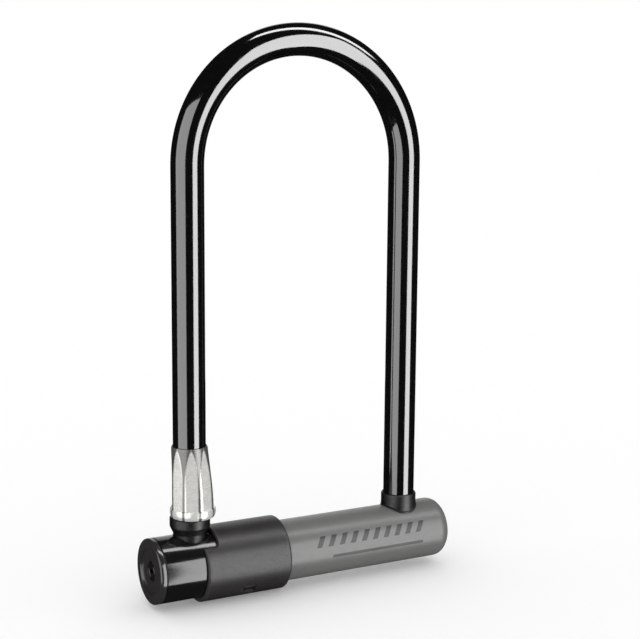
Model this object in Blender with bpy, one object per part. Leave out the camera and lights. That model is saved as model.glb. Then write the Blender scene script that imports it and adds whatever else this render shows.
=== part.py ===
"""Bicycle U lock with a key-operated double deadbolt.

Metres, +Z up. The crossbar lies along X with its key end at -X, and the shackle stands up
along +Z. The origin is at the bottom centre of the whole lock.

The shackle's two straight legs drop into holes in the crossbar. A flatted shaft along the
crossbar's axis passes through a keyhole slot in each leg. Turning the shaft a quarter turn
puts its full width across both slots, which locks both legs at once. The lock is modelled
closed, with the shaft turned back, so that the shackle is free to lift.
"""
import math

import bmesh
import bpy
from mathutils import Matrix, Vector

# ---- Fits -------------------------------------------------------------------------------
GAP = 0.0003                 # clearance between pieces that seat on each other
RUNNING_GAP = 0.0004         # clearance round pieces that slide or turn
OVERCUT = 0.001              # how far a cutter runs past the surface that it cuts
WELD_DISTANCE = 1e-6
SHARP_ANGLE = math.radians(35)

# ---- Shackle ----------------------------------------------------------------------------
INSIDE_WIDTH = 0.102         # between the coated legs
INSIDE_HEIGHT = 0.229        # from the top of the crossbar tube to the inside of the arch
STEEL_RADIUS = 0.0065        # hardened steel bar
COATING_WALL = 0.0011        # vinyl coating
BAR_SIDES = 20
ARCH_STEPS = 24
HOLE_SIDES = 24              # leg holes, and the boot and the seal round them

# ---- Crossbar ---------------------------------------------------------------------------
TUBE_RADIUS = 0.0152
TUBE_WALL = 0.0023
HEAD_STEP = 0.00075          # how far the lock head stands proud of the tube
SLEEVE_WALL = 0.002          # sleeve over the lock head
FAR_OVERHANG = 0.0238        # far leg's axis to the far end face
FAR_END_FILLET = 0.0055
TUBE_SIDES = 40

# ---- Leg holes --------------------------------------------------------------------------
CORNER_WALL = 0.0006         # metal left under the rim of a blind leg hole
TIP_CLEARANCE = 0.0006       # leg tip to the floor of its hole
MOUTH_DEPTH = 0.0045         # recess round the key-end leg hole, for the boot
MOUTH_WALL = 0.0017          # recess beyond the leg hole
KEYHOLE_STEPS = 14

# ---- Lock cylinder, front to back -------------------------------------------------------
BEZEL_FLANGE = 0.0031
BEZEL_SPIGOT = 0.0009
GUARD_PLATE = 0.001
CAGE_LENGTH = 0.0072
CAGE_BACK = 0.0011
HEAD_WEB = 0.0015            # metal between the cylinder bore and the leg hole
CYLINDER_BORE_WALL = 0.00305 # wall of the lock head round the cylinder
CAGE_RADIUS = 0.0073
CAGE_WALL = 0.001
DISC_COUNT = 5
DISC_THICKNESS = 0.0009
DISC_PITCH = 0.0012
DISC_NOTCH_TURNS = (90.0, 72.0, 36.0, 54.0, 18.0)   # degrees each disc turns to free the bar
KEY_SLOT_HEIGHT = 0.0052
KEY_SLOT_WIDTH = 0.0018
SIDEBAR_WIDTH = 0.0012
SIDEBAR_END_WALL = 0.0006    # metal at each end of the sidebar's slot
GROOVE_DEPTH = 0.001         # sidebar groove in the housing
NOTCH_DEPTH = 0.001          # sidebar notch in a disc
CYLINDER_SIDES = 32
ROTOR_SIDES = 28
DISC_SIDES = 24

# ---- End face ---------------------------------------------------------------------------
BEZEL_CHAMFER = 0.0013
BEZEL_RIM = 0.0033           # flat rim between the chamfer and the dish
DISH_DEPTH = 0.0012
DISH_SLOPE = 0.0006          # how far the dish's side leans in
BEZEL_STEPS = 3
DUST_COVER_RADIUS = 0.0046
DUST_COVER_THICKNESS = 0.0011
COVER_LIP = 0.0008           # bezel lip behind the dust cover
COVER_EDGE = 0.0004

# ---- Deadbolt shaft ---------------------------------------------------------------------
SHAFT_RADIUS = 0.00325
SHAFT_FLATS = 0.0038         # thickness across the flats
SLOT_SIDE_GAP = 0.0003
TANG_HALF = 0.0017
TANG_ROOT = 0.0005           # how far the tang runs into the shaft that it is part of
SHAFT_SIDES = 24
CLIP_SIDES = 20
SHAFT_TAIL = 0.0018          # shaft past the far leg's hole
CLIP_THICKNESS = 0.0008
CLIP_WIDTH = 0.0026          # radial width of a clip
CLIP_GROOVE_DEPTH = 0.00065

# ---- Lock head, sleeve, plug and pins ---------------------------------------------------
HEAD_EDGE = 0.0003
SCOOP_CLEARANCE = 0.0002     # sleeve cut back round the key-end leg, past the boot's skirt
SCOOP_DEPTH = 0.00465        # lowest line of that cut, below the top of the lock head
SCOOP_CORNER = 0.003
SCOOP_STEPS = 6
SADDLE_SIDES = 48
BARREL_REACH = 0.0165        # end of the head's barrel, from the key-end leg's axis
SLEEVE_START = 0.00235       # sleeve edge past the key-end leg's axis
SLEEVE_LENGTH = 0.0444
SLEEVE_EDGE = 0.0012
WINDOW_START = 0.02155       # snap window, from the key-end leg's axis
WINDOW_LENGTH = 0.0075
WINDOW_HALF_WIDTH = 0.0022
WINDOW_ANGLE = math.radians(-40.5)
SPIGOT_LENGTH = 0.014
HEAD_PIN_RADIUS = 0.002
PIN_BITE = 0.00645           # how far a pin's hole runs in past the tube's wall
PIN_SIDES = 12
PLUG_NOSE_WALL = 0.0061      # plug from the far leg's hole towards the middle
PLUG_PIN_RADIUS = 0.0018
HOUSING_PIN_RADIUS = 0.0011
HOUSING_PIN_FLOOR = 0.0016   # brass left between the housing pin and the cage
MID_BUSH_LENGTH = 0.008

# ---- Pieces on the legs -----------------------------------------------------------------
FERRULE_WALL = 0.0005        # at its thin top edge
FERRULE_FLARE = 0.0034       # growth towards the inside of the lock, top to foot
FERRULE_OUTER_FLARE = 0.0002
FERRULE_BODY = 0.0304
FERRULE_SWELL = ((0.0, 0.0), (0.30, 0.55), (0.65, 0.90), (1.0, 1.0))   # way down, share of flare
FERRULE_CHAMFER_SHARE = 0.95
FERRULE_FOOT_SHARE = 0.60
FERRULE_BAND = 0.0045
FERRULE_BAND_STEP = 0.0007
FERRULE_FOOT_CHAMFER = 0.0012
FERRULE_SIDES = 32
BOOT_RISE = 0.00905          # lock head top to the foot of the ferrule
BOOT_TAPER_START = 0.0011
BOOT_TAPER_END = 0.0045
BOOT_SKIRT_STEP = 0.0016     # boot skirt beyond its throat
SEAL_WALL = 0.0008
SEAL_RISE = 0.0065           # far-leg seal above the top of the tube

# ---- Worked out from the above ----------------------------------------------------------
coat_radius = STEEL_RADIUS + GAP + COATING_WALL
leg_pitch = INSIDE_WIDTH + 2 * coat_radius
hole_radius = STEEL_RADIUS + RUNNING_GAP
head_radius = TUBE_RADIUS + HEAD_STEP
sleeve_radius = head_radius + GAP + SLEEVE_WALL
axis_z = sleeve_radius
tube_bore = TUBE_RADIUS - TUBE_WALL
plug_radius = tube_bore - GAP
cylinder_bore = head_radius - CYLINDER_BORE_WALL
housing_radius = cylinder_bore - GAP

guard_start = BEZEL_FLANGE + BEZEL_SPIGOT + GAP
cage_start = guard_start + GUARD_PLATE + GAP
cage_end = cage_start + CAGE_LENGTH
key_overhang = cage_end + GAP + HEAD_WEB + hole_radius
crossbar_length = key_overhang + leg_pitch + FAR_OVERHANG
key_x = -crossbar_length / 2
far_x = crossbar_length / 2
key_leg_x = key_x + key_overhang
far_leg_x = far_x - FAR_OVERHANG

floor_drop = math.sqrt((plug_radius - CORNER_WALL) ** 2 - hole_radius ** 2)
tip_z = axis_z - floor_drop + TIP_CLEARANCE
arch_z = axis_z + TUBE_RADIUS + INSIDE_HEIGHT - INSIDE_WIDTH / 2
arch_x = (key_leg_x + far_leg_x) / 2

head_top_z = axis_z + head_radius
ferrule_foot_z = head_top_z + BOOT_RISE
ferrule_top_z = ferrule_foot_z + FERRULE_BAND + FERRULE_BODY
ferrule_bore = coat_radius + GAP
mouth_radius = hole_radius + MOUTH_WALL
mouth_floor_z = head_top_z - MOUTH_DEPTH
seal_bore = coat_radius + GAP
seal_radius = seal_bore + SEAL_WALL
shaft_bore = SHAFT_RADIUS + GAP
pin_floor = tube_bore - PIN_BITE
cage_bore = CAGE_RADIUS - CAGE_WALL
disc_radius = cage_bore - GAP
barrel_end_x = key_leg_x + BARREL_REACH
tube_start_x = barrel_end_x + GAP
spigot_end_x = barrel_end_x + SPIGOT_LENGTH
sleeve_x = key_leg_x + SLEEVE_START
plug_x = far_leg_x - hole_radius - PLUG_NOSE_WALL
plug_end_x = far_x - FAR_END_FILLET - GAP
shaft_end_x = far_leg_x + hole_radius + SHAFT_TAIL
mid_bush_x = (spigot_end_x + plug_x) / 2
head_pin_x = barrel_end_x + SPIGOT_LENGTH / 2
plug_pin_x = (far_leg_x + hole_radius + plug_end_x) / 2
housing_pin_x = key_x + (cage_start + cage_end) / 2
housing_pin_floor = CAGE_RADIUS + RUNNING_GAP + HOUSING_PIN_FLOOR

AXIS = Vector((0.0, 0.0, axis_z))


# ---- Helpers ----------------------------------------------------------------------------
def clear_scene():
    for item in list(bpy.data.objects):
        bpy.data.objects.remove(item, do_unlink=True)


def make_material(name, colour, roughness, metallic):
    material = bpy.data.materials.new(name)
    material.use_nodes = True
    shader = material.node_tree.nodes["Principled BSDF"]
    shader.inputs["Base Color"].default_value = (*colour, 1.0)
    shader.inputs["Roughness"].default_value = roughness
    shader.inputs["Metallic"].default_value = metallic
    return material


def add_object(name, bm, material=None, parent=None):
    """Turn a bmesh, built in world coordinates, into a smooth-shaded object."""
    bmesh.ops.recalc_face_normals(bm, faces=bm.faces)
    origin = parent.location.copy() if parent else Vector((0.0, 0.0, 0.0))
    bmesh.ops.translate(bm, verts=bm.verts, vec=-origin)
    mesh = bpy.data.meshes.new(name)
    bm.to_mesh(mesh)
    bm.free()
    mesh.shade_smooth()
    mesh.set_sharp_from_angle(angle=SHARP_ANGLE)
    item = bpy.data.objects.new(name, mesh)
    bpy.context.scene.collection.objects.link(item)
    if material:
        mesh.materials.append(material)
    if parent:
        item.parent = parent
    return item


def add_pivot(name, location):
    pivot = bpy.data.objects.new(name, None)
    pivot.location = location
    bpy.context.scene.collection.objects.link(pivot)
    return pivot


def cut(item, cutter):
    """Take the cutter's shape out of an object, and keep the cutter as a hidden guide."""
    cutter.hide_render = True
    cutter.display_type = "WIRE"
    modifier = item.modifiers.new("cut_" + cutter.name, "BOOLEAN")
    modifier.operation = "DIFFERENCE"
    modifier.object = cutter


def turned(outline, sides, along_x=True, centre=AXIS):
    """Spin an outline of (distance, radius) points round X, or round Z through centre.

    Distances are world X, or world Z, and a closed outline that stays off the axis makes
    a ring. An outline that starts and ends on the axis makes a solid.
    """
    bm = bmesh.new()
    verts = []
    for distance, radius in outline:
        if along_x:
            verts.append(bm.verts.new((distance, centre.y, centre.z + radius)))
        else:
            verts.append(bm.verts.new((centre.x + radius, centre.y, distance)))
    ring = outline[0][1] > 0.0
    pairs = list(zip(verts, verts[1:] + verts[:1])) if ring else list(zip(verts, verts[1:]))
    edges = [bm.edges.new(pair) for pair in pairs]
    axis = (1.0, 0.0, 0.0) if along_x else (0.0, 0.0, 1.0)
    bmesh.ops.spin(
        bm, geom=verts + edges, cent=centre, axis=axis,
        angle=2 * math.pi, steps=sides, use_merge=True,
    )
    bmesh.ops.remove_doubles(bm, verts=bm.verts, dist=WELD_DISTANCE)
    return bm


def ring_outline(start, end, inner, outer):
    return [(start, inner), (start, outer), (end, outer), (end, inner)]


def rod_outline(start, end, radius):
    return [(start, 0.0), (start, radius), (end, radius), (end, 0.0)]


def add_rod(bm, start, end, radius, sides):
    """Add a straight round rod between two points."""
    direction = end - start
    turn = direction.to_track_quat("Z", "Y").to_matrix().to_4x4()
    bmesh.ops.create_cone(
        bm, cap_ends=True, segments=sides, radius1=radius, radius2=radius,
        depth=direction.length, matrix=Matrix.Translation((start + end) / 2) @ turn,
    )


def add_block(bm, low, high):
    size = Vector(high) - Vector(low)
    middle = (Vector(high) + Vector(low)) / 2
    placed = Matrix.Translation(middle) @ Matrix.Diagonal((*size, 1.0))
    bmesh.ops.create_cube(bm, size=1.0, matrix=placed)


def prism_along_x(bm, outline, start, end):
    """Extrude a closed outline of (y, height above the axis) points along X."""
    verts = [bm.verts.new((start, y, axis_z + z)) for y, z in outline]
    face = bm.faces.new(verts)
    moved = bmesh.ops.extrude_face_region(bm, geom=[face])["geom"]
    far_verts = [element for element in moved if isinstance(element, bmesh.types.BMVert)]
    bmesh.ops.translate(bm, verts=far_verts, vec=(end - start, 0.0, 0.0))


def polar(angle, radius):
    """Point on the crossbar's section: 0 is the front (-Y) and a quarter turn is the top."""
    return Vector((0.0, -math.cos(angle) * radius, math.sin(angle) * radius))


def radial_rod(bm, x, angle, inner, outer, radius):
    station = AXIS + Vector((x, 0.0, 0.0))
    inner_end = station + polar(angle, inner)
    add_rod(bm, inner_end, station + polar(angle, outer), radius, PIN_SIDES)


def key_slot_cutter(name, start, end, upright, parent):
    half_height = KEY_SLOT_HEIGHT / 2
    half_width = KEY_SLOT_WIDTH / 2
    half_y, half_z = (half_width, half_height) if upright else (half_height, half_width)
    bm = bmesh.new()
    add_block(bm, (start, -half_y, axis_z - half_z), (end, half_y, axis_z + half_z))
    return add_object(name, bm, parent=parent)


# ---- Shackle ----------------------------------------------------------------------------
def u_skin(bm, radius, key_end_z, far_end_z):
    """Sweep a circle up the key-end leg, round the arch and down the far leg.

    Returns the two open end loops.
    """
    placed = Matrix.Translation((key_leg_x, 0.0, key_end_z))
    circle = bmesh.ops.create_circle(bm, segments=BAR_SIDES, radius=radius, matrix=placed)
    first = list({edge for vert in circle["verts"] for edge in vert.link_edges})
    leg = bmesh.ops.extrude_edge_only(bm, edges=first)["geom"]
    rim = [element for element in leg if isinstance(element, bmesh.types.BMVert)]
    bmesh.ops.translate(bm, verts=rim, vec=(0.0, 0.0, arch_z - key_end_z))
    rim_edges = [element for element in leg if isinstance(element, bmesh.types.BMEdge)
                 and all(vert in rim for vert in element.verts)]
    arch = bmesh.ops.spin(
        bm, geom=rim + rim_edges, cent=(arch_x, 0.0, arch_z), axis=(0.0, 1.0, 0.0),
        angle=math.pi, steps=ARCH_STEPS,
    )["geom_last"]
    arch_edges = [element for element in arch if isinstance(element, bmesh.types.BMEdge)]
    leg = bmesh.ops.extrude_edge_only(bm, edges=arch_edges)["geom"]
    rim = [element for element in leg if isinstance(element, bmesh.types.BMVert)]
    bmesh.ops.translate(bm, verts=rim, vec=(0.0, 0.0, far_end_z - arch_z))
    last = [element for element in leg if isinstance(element, bmesh.types.BMEdge)
            and all(vert in rim for vert in element.verts)]
    return first, last


def keyhole_outline():
    """Round hole for the shaft with a slot down to the leg's tip."""
    radius = SHAFT_RADIUS + RUNNING_GAP
    half_slot = SHAFT_FLATS / 2 + SLOT_SIDE_GAP
    lowest = -floor_drop - OVERCUT
    side = math.asin(half_slot / radius)
    first = -math.pi / 2 + side
    last = 3 * math.pi / 2 - side
    points = [(half_slot, lowest)]
    for step in range(KEYHOLE_STEPS + 1):
        angle = first + (last - first) * step / KEYHOLE_STEPS
        points.append((radius * math.cos(angle), radius * math.sin(angle)))
    points.append((-half_slot, lowest))
    return points


def build_shackle(pivot, steel, vinyl, chrome, rubber):
    bm = bmesh.new()
    first, last = u_skin(bm, STEEL_RADIUS, tip_z, tip_z)
    bmesh.ops.holes_fill(bm, edges=first + last, sides=0)
    bar = add_object("shackle_bar", bm, steel, pivot)
    bm = bmesh.new()
    for leg_x in (key_leg_x, far_leg_x):
        prism_along_x(bm, keyhole_outline(), leg_x - hole_radius, leg_x + hole_radius)
    cut(bar, add_object("leg_slot_cutter", bm, parent=pivot))

    coat_key_z = ferrule_foot_z + FERRULE_BAND
    coat_far_z = axis_z + tube_bore + GAP
    bm = bmesh.new()
    u_skin(bm, coat_radius, coat_key_z, coat_far_z)
    coating = add_object("shackle_coating", bm, vinyl, pivot)
    wall = coating.modifiers.new("wall", "SOLIDIFY")
    wall.thickness = COATING_WALL
    wall.offset = -1.0

    build_ferrule(pivot, chrome)

    taper_start = head_top_z + BOOT_TAPER_START
    taper_end = head_top_z + BOOT_TAPER_END
    bore = STEEL_RADIUS + GAP
    throat = mouth_radius - RUNNING_GAP
    skirt = throat + BOOT_SKIRT_STEP
    outline = [
        (mouth_floor_z + GAP, bore), (mouth_floor_z + GAP, throat), (taper_start, throat),
        (taper_end, skirt), (ferrule_foot_z - GAP, skirt), (ferrule_foot_z - GAP, bore),
    ]
    leg = Vector((key_leg_x, 0.0, 0.0))
    add_object("ferrule_boot", turned(outline, HOLE_SIDES, False, leg), rubber, pivot)


def ring_points(centre_x, z, radius):
    points = []
    for side in range(FERRULE_SIDES):
        angle = 2 * math.pi * side / FERRULE_SIDES
        points.append((centre_x + radius * math.cos(angle), radius * math.sin(angle), z))
    return points


def ferrule_ring(z, share, step):
    """One outer ring of the ferrule: a circle that moves inwards as it widens.

    share is 0 at the top edge and 1 at the foot.
    """
    top_radius = ferrule_bore + FERRULE_WALL
    outer_reach = top_radius + FERRULE_OUTER_FLARE * share + step
    inner_reach = top_radius + FERRULE_FLARE * share + step
    radius = (outer_reach + inner_reach) / 2
    centre_x = key_leg_x + (inner_reach - outer_reach) / 2
    return ring_points(centre_x, z, radius)


def closed_loft(bm, rings):
    """Join each ring of points to the next, and the last one back to the first."""
    loops = [[bm.verts.new(point) for point in ring] for ring in rings]
    for loop, following in zip(loops, loops[1:] + loops[:1]):
        for side in range(len(loop)):
            after = (side + 1) % len(loop)
            bm.faces.new((loop[side], loop[after], following[after], following[side]))


def build_ferrule(pivot, chrome):
    band_top_z = ferrule_foot_z + FERRULE_BAND
    stations = [(ferrule_top_z - FERRULE_BODY * down, share, 0.0) for down, share in FERRULE_SWELL]
    stations += [
        (band_top_z - FERRULE_BAND_STEP, 1.0, FERRULE_BAND_STEP),
        (ferrule_foot_z + FERRULE_FOOT_CHAMFER, FERRULE_CHAMFER_SHARE, FERRULE_BAND_STEP),
        (ferrule_foot_z, FERRULE_FOOT_SHARE, 0.0),
    ]
    rings = [ferrule_ring(*station) for station in stations]
    for z in (ferrule_foot_z, ferrule_top_z):
        rings.append(ring_points(key_leg_x, z, ferrule_bore))
    bm = bmesh.new()
    closed_loft(bm, rings)
    add_object("shackle_ferrule", bm, chrome, pivot)


# ---- Crossbar ---------------------------------------------------------------------------
def far_end_arc(radius, steps=5):
    """Quarter round of the closed end, from the tube's wall to the flat end face."""
    points = []
    for step in range(steps + 1):
        angle = math.pi / 2 * step / steps
        points.append((
            far_x - FAR_END_FILLET + radius * math.sin(angle),
            TUBE_RADIUS - FAR_END_FILLET + radius * math.cos(angle),
        ))
    return points


def build_tube(satin_steel):
    outline = [(far_x, 0.0)] + far_end_arc(FAR_END_FILLET)[::-1]
    outline += [(tube_start_x, TUBE_RADIUS), (tube_start_x, tube_bore)]
    outline += far_end_arc(FAR_END_FILLET - TUBE_WALL, 3)
    outline += [(far_x - TUBE_WALL, 0.0)]
    tube = add_object("crossbar_tube", turned(outline, TUBE_SIDES), satin_steel)
    bm = bmesh.new()
    top = Vector((far_leg_x, 0.0, axis_z + sleeve_radius))
    add_rod(bm, Vector((far_leg_x, 0.0, axis_z)), top, seal_bore, HOLE_SIDES)
    cut(tube, add_object("seal_hole_cutter", bm))
    bm = bmesh.new()
    inner = tube_bore - OVERCUT
    outer = TUBE_RADIUS + OVERCUT
    for angle in (0.0, math.pi):
        radial_rod(bm, head_pin_x, angle, inner, outer, HEAD_PIN_RADIUS + GAP)
    radial_rod(bm, plug_pin_x, -math.pi / 2, inner, outer, PLUG_PIN_RADIUS + GAP)
    cut(tube, add_object("tube_pin_cutter", bm))


def build_lock_head(black_gloss):
    front = key_x + BEZEL_FLANGE + GAP
    web = key_x + cage_end + GAP
    outline = [
        (web, shaft_bore), (web, cylinder_bore), (front, cylinder_bore),
        (front, head_radius - HEAD_EDGE), (front + HEAD_EDGE, head_radius),
        (barrel_end_x, head_radius), (barrel_end_x, plug_radius),
        (spigot_end_x, plug_radius), (spigot_end_x, shaft_bore),
    ]
    head = add_object("lock_head", turned(outline, TUBE_SIDES), black_gloss)
    outline = [
        (axis_z - floor_drop, 0.0), (axis_z - floor_drop, hole_radius),
        (mouth_floor_z, hole_radius), (mouth_floor_z, mouth_radius),
        (head_top_z + OVERCUT, mouth_radius), (head_top_z + OVERCUT, 0.0),
    ]
    leg = Vector((key_leg_x, 0.0, 0.0))
    cut(head, add_object("leg_hole_cutter", turned(outline, HOLE_SIDES, False, leg)))
    bm = bmesh.new()
    for angle in (0.0, math.pi):
        radial_rod(bm, head_pin_x, angle, pin_floor, TUBE_RADIUS, HEAD_PIN_RADIUS + GAP)
    radial_rod(bm, housing_pin_x, -math.pi / 2, cylinder_bore - OVERCUT, head_radius + OVERCUT,
               HOUSING_PIN_RADIUS + GAP)
    cut(head, add_object("head_pin_cutter", bm))


def build_pins(bright_steel):
    for name, angle in (("head_pin_front", 0.0), ("head_pin_back", math.pi)):
        bm = bmesh.new()
        radial_rod(bm, head_pin_x, angle, pin_floor + GAP, TUBE_RADIUS - GAP, HEAD_PIN_RADIUS)
        add_object(name, bm, bright_steel)
    bm = bmesh.new()
    radial_rod(bm, plug_pin_x, -math.pi / 2, pin_floor + GAP, TUBE_RADIUS - GAP,
               PLUG_PIN_RADIUS)
    add_object("plug_pin", bm, bright_steel)
    bm = bmesh.new()
    radial_rod(bm, housing_pin_x, -math.pi / 2, housing_pin_floor + GAP, head_radius - GAP,
               HOUSING_PIN_RADIUS)
    add_object("housing_pin", bm, bright_steel)


def build_far_end(plug_steel, rubber):
    blind_end_x = shaft_end_x + GAP
    outline = [
        (blind_end_x, 0.0), (blind_end_x, shaft_bore), (plug_x, shaft_bore),
        (plug_x, plug_radius), (plug_end_x, plug_radius), (plug_end_x, 0.0),
    ]
    plug = add_object("far_end_plug", turned(outline, CYLINDER_SIDES), plug_steel)
    bm = bmesh.new()
    add_rod(bm, Vector((far_leg_x, 0.0, axis_z - floor_drop)),
            Vector((far_leg_x, 0.0, axis_z + tube_bore + OVERCUT)), hole_radius, HOLE_SIDES)
    cut(plug, add_object("plug_leg_cutter", bm))
    bm = bmesh.new()
    radial_rod(bm, plug_pin_x, -math.pi / 2, pin_floor, TUBE_RADIUS, PLUG_PIN_RADIUS + GAP)
    cut(plug, add_object("plug_pin_cutter", bm))

    outline = ring_outline(axis_z, axis_z + TUBE_RADIUS + SEAL_RISE, seal_bore, seal_radius)
    leg = Vector((far_leg_x, 0.0, 0.0))
    seal = add_object("far_hole_seal", turned(outline, HOLE_SIDES, False, leg), rubber)
    reach = seal_radius + OVERCUT
    saddle = turned(rod_outline(far_leg_x - reach, far_leg_x + reach, TUBE_RADIUS + GAP),
                    SADDLE_SIDES)
    cut(seal, add_object("seal_saddle_cutter", saddle))


def scoop_block():
    """Block across the sleeve, from its end to the scoop's wall, with a round lower corner."""
    skirt = mouth_radius - RUNNING_GAP + BOOT_SKIRT_STEP
    wall = key_leg_x + skirt + SCOOP_CLEARANCE
    floor = head_top_z - SCOOP_DEPTH
    top = axis_z + sleeve_radius + OVERCUT
    points = [(key_leg_x, floor)]
    for step in range(SCOOP_STEPS + 1):
        angle = math.pi / 2 * step / SCOOP_STEPS
        points.append((wall - SCOOP_CORNER * (1 - math.sin(angle)),
                       floor + SCOOP_CORNER * (1 - math.cos(angle))))
    points += [(wall, top), (key_leg_x, top)]
    bm = bmesh.new()
    near = [bm.verts.new((x, -sleeve_radius, z)) for x, z in points]
    face = bm.faces.new(near)
    moved = bmesh.ops.extrude_face_region(bm, geom=[face])["geom"]
    far_verts = [element for element in moved if isinstance(element, bmesh.types.BMVert)]
    bmesh.ops.translate(bm, verts=far_verts, vec=(0.0, 2 * sleeve_radius, 0.0))
    return bm


def build_sleeve(black_plastic):
    end = sleeve_x + SLEEVE_LENGTH
    over_head = head_radius + GAP
    over_tube = TUBE_RADIUS + GAP
    edge = SLEEVE_EDGE
    outline = [
        (sleeve_x, over_head), (sleeve_x, sleeve_radius - edge / 2),
        (sleeve_x + edge / 2, sleeve_radius), (end - edge, sleeve_radius),
        (end - 0.3 * edge, sleeve_radius - 0.3 * edge), (end, sleeve_radius - edge),
        (end, over_tube), (tube_start_x, over_tube), (tube_start_x, over_head),
    ]
    sleeve = add_object("sleeve_cover", turned(outline, TUBE_SIDES), black_plastic)
    cut(sleeve, add_object("scoop_cutter", scoop_block()))
    bm = bmesh.new()
    start = key_leg_x + WINDOW_START
    add_block(bm, (start, -WINDOW_HALF_WIDTH, TUBE_RADIUS - OVERCUT),
              (start + WINDOW_LENGTH, WINDOW_HALF_WIDTH, sleeve_radius + OVERCUT))
    turn = Matrix.Rotation(math.pi / 2 - WINDOW_ANGLE, 4, "X")
    bmesh.ops.transform(bm, matrix=Matrix.Translation(AXIS) @ turn, verts=bm.verts)
    cut(sleeve, add_object("window_cutter", bm))


def build_end_face(black_gloss, hard_steel, pivot):
    lip_radius = DUST_COVER_RADIUS - COVER_LIP
    rim_outer = head_radius - BEZEL_CHAMFER
    dish_radius = rim_outer - BEZEL_RIM
    recess_floor = DISH_DEPTH + GAP + DUST_COVER_THICKNESS + GAP
    back = BEZEL_FLANGE + BEZEL_SPIGOT
    outline = [(0.0, dish_radius)]
    for step in range(BEZEL_STEPS + 1):
        angle = math.pi / 2 * step / BEZEL_STEPS
        outline.append((
            BEZEL_CHAMFER * (1 - math.cos(angle)),
            rim_outer + BEZEL_CHAMFER * math.sin(angle),
        ))
    outline += [
        (BEZEL_FLANGE, head_radius), (BEZEL_FLANGE, housing_radius),
        (back, housing_radius), (back, lip_radius + RUNNING_GAP),
        (recess_floor, lip_radius + RUNNING_GAP),
        (recess_floor, DUST_COVER_RADIUS + RUNNING_GAP),
        (DISH_DEPTH, DUST_COVER_RADIUS + RUNNING_GAP), (DISH_DEPTH, dish_radius - DISH_SLOPE),
    ]
    outline = [(key_x + depth, radius) for depth, radius in outline]
    add_object("end_bezel", turned(outline, TUBE_SIDES), black_gloss)

    cover_front = DISH_DEPTH + GAP
    outline = [
        (cover_front, 0.0), (cover_front, DUST_COVER_RADIUS - COVER_EDGE),
        (cover_front + COVER_EDGE, DUST_COVER_RADIUS),
        (cover_front + DUST_COVER_THICKNESS, DUST_COVER_RADIUS),
        (cover_front + DUST_COVER_THICKNESS, lip_radius), (back - GAP, lip_radius),
        (back - GAP, 0.0),
    ]
    outline = [(key_x + depth, radius) for depth, radius in outline]
    cover = add_object("dust_cover", turned(outline, ROTOR_SIDES), hard_steel, pivot)
    slot_end = key_x + back + OVERCUT
    cut(cover, key_slot_cutter("cover_slot_cutter", key_x, slot_end, False, pivot))

    outline = ring_outline(key_x + guard_start, key_x + guard_start + GUARD_PLATE,
                           KEY_SLOT_HEIGHT / 2 + GAP, housing_radius)
    add_object("guard_plate", turned(outline, CYLINDER_SIDES), hard_steel)


# ---- Lock cylinder ----------------------------------------------------------------------
def sidebar_space(bm, inner, outer, side_gap, start, end):
    half = SIDEBAR_WIDTH / 2 + side_gap
    add_block(bm, (start, -half, axis_z + inner), (end, half, axis_z + outer))


def build_housing(brass):
    start = key_x + cage_start
    end = key_x + cage_end
    bore = CAGE_RADIUS + RUNNING_GAP
    housing = add_object(
        "cylinder_housing",
        turned(ring_outline(start, end, bore, housing_radius), CYLINDER_SIDES), brass,
    )
    bm = bmesh.new()
    sidebar_space(bm, bore - OVERCUT, bore + GROOVE_DEPTH, GAP, start + SIDEBAR_END_WALL,
                  end - SIDEBAR_END_WALL)
    cut(housing, add_object("sidebar_groove_cutter", bm))
    bm = bmesh.new()
    radial_rod(bm, housing_pin_x, -math.pi / 2, housing_pin_floor, cylinder_bore + OVERCUT,
               HOUSING_PIN_RADIUS + GAP)
    cut(housing, add_object("housing_pin_cutter", bm))


def build_cage(brass, hard_steel, pivot):
    start = key_x + cage_start
    end = key_x + cage_end
    back = end - CAGE_BACK
    outline = [(back, 0.0), (back, cage_bore), (start, cage_bore), (start, CAGE_RADIUS),
               (end, CAGE_RADIUS), (end, 0.0)]
    cage = add_object("rotor_cage", turned(outline, ROTOR_SIDES), brass, pivot)
    bm = bmesh.new()
    slot_start = start + SIDEBAR_END_WALL
    sidebar_space(bm, cage_bore - OVERCUT, CAGE_RADIUS + OVERCUT, GAP, slot_start, back - GAP)
    cut(cage, add_object("cage_slot_cutter", bm, parent=pivot))
    half = TANG_HALF + GAP
    bm = bmesh.new()
    add_block(bm, (back - OVERCUT, -half, axis_z - half), (end + OVERCUT, half, axis_z + half))
    cut(cage, add_object("tang_hole_cutter", bm, parent=pivot))

    bm = bmesh.new()
    sidebar_space(bm, disc_radius + GAP, CAGE_RADIUS, 0.0, slot_start + GAP, back - 2 * GAP)
    add_object("sidebar", bm, hard_steel, pivot)


def build_disc(number, brass, pivot):
    start = key_x + cage_start + GAP + (number - 1) * DISC_PITCH
    end = start + DISC_THICKNESS
    name = "disc_%d" % number
    disc = add_object(name, turned(rod_outline(start, end, disc_radius), DISC_SIDES), brass, pivot)
    low = start - OVERCUT
    high = end + OVERCUT
    cut(disc, key_slot_cutter(name + "_slot_cutter", low, high, True, pivot))
    half = SIDEBAR_WIDTH / 2 + GAP
    bm = bmesh.new()
    add_block(bm, (low, -half, disc_radius - NOTCH_DEPTH), (high, half, disc_radius + OVERCUT))
    turn = Matrix.Rotation(-math.radians(DISC_NOTCH_TURNS[number - 1]), 4, "X")
    bmesh.ops.transform(bm, matrix=Matrix.Translation(AXIS) @ turn, verts=bm.verts)
    cut(disc, add_object(name + "_notch_cutter", bm, parent=pivot))


# ---- Deadbolt shaft ---------------------------------------------------------------------
def clip_stations():
    offset = MID_BUSH_LENGTH / 2 + GAP
    return (mid_bush_x - offset - CLIP_THICKNESS, mid_bush_x + offset)


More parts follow.
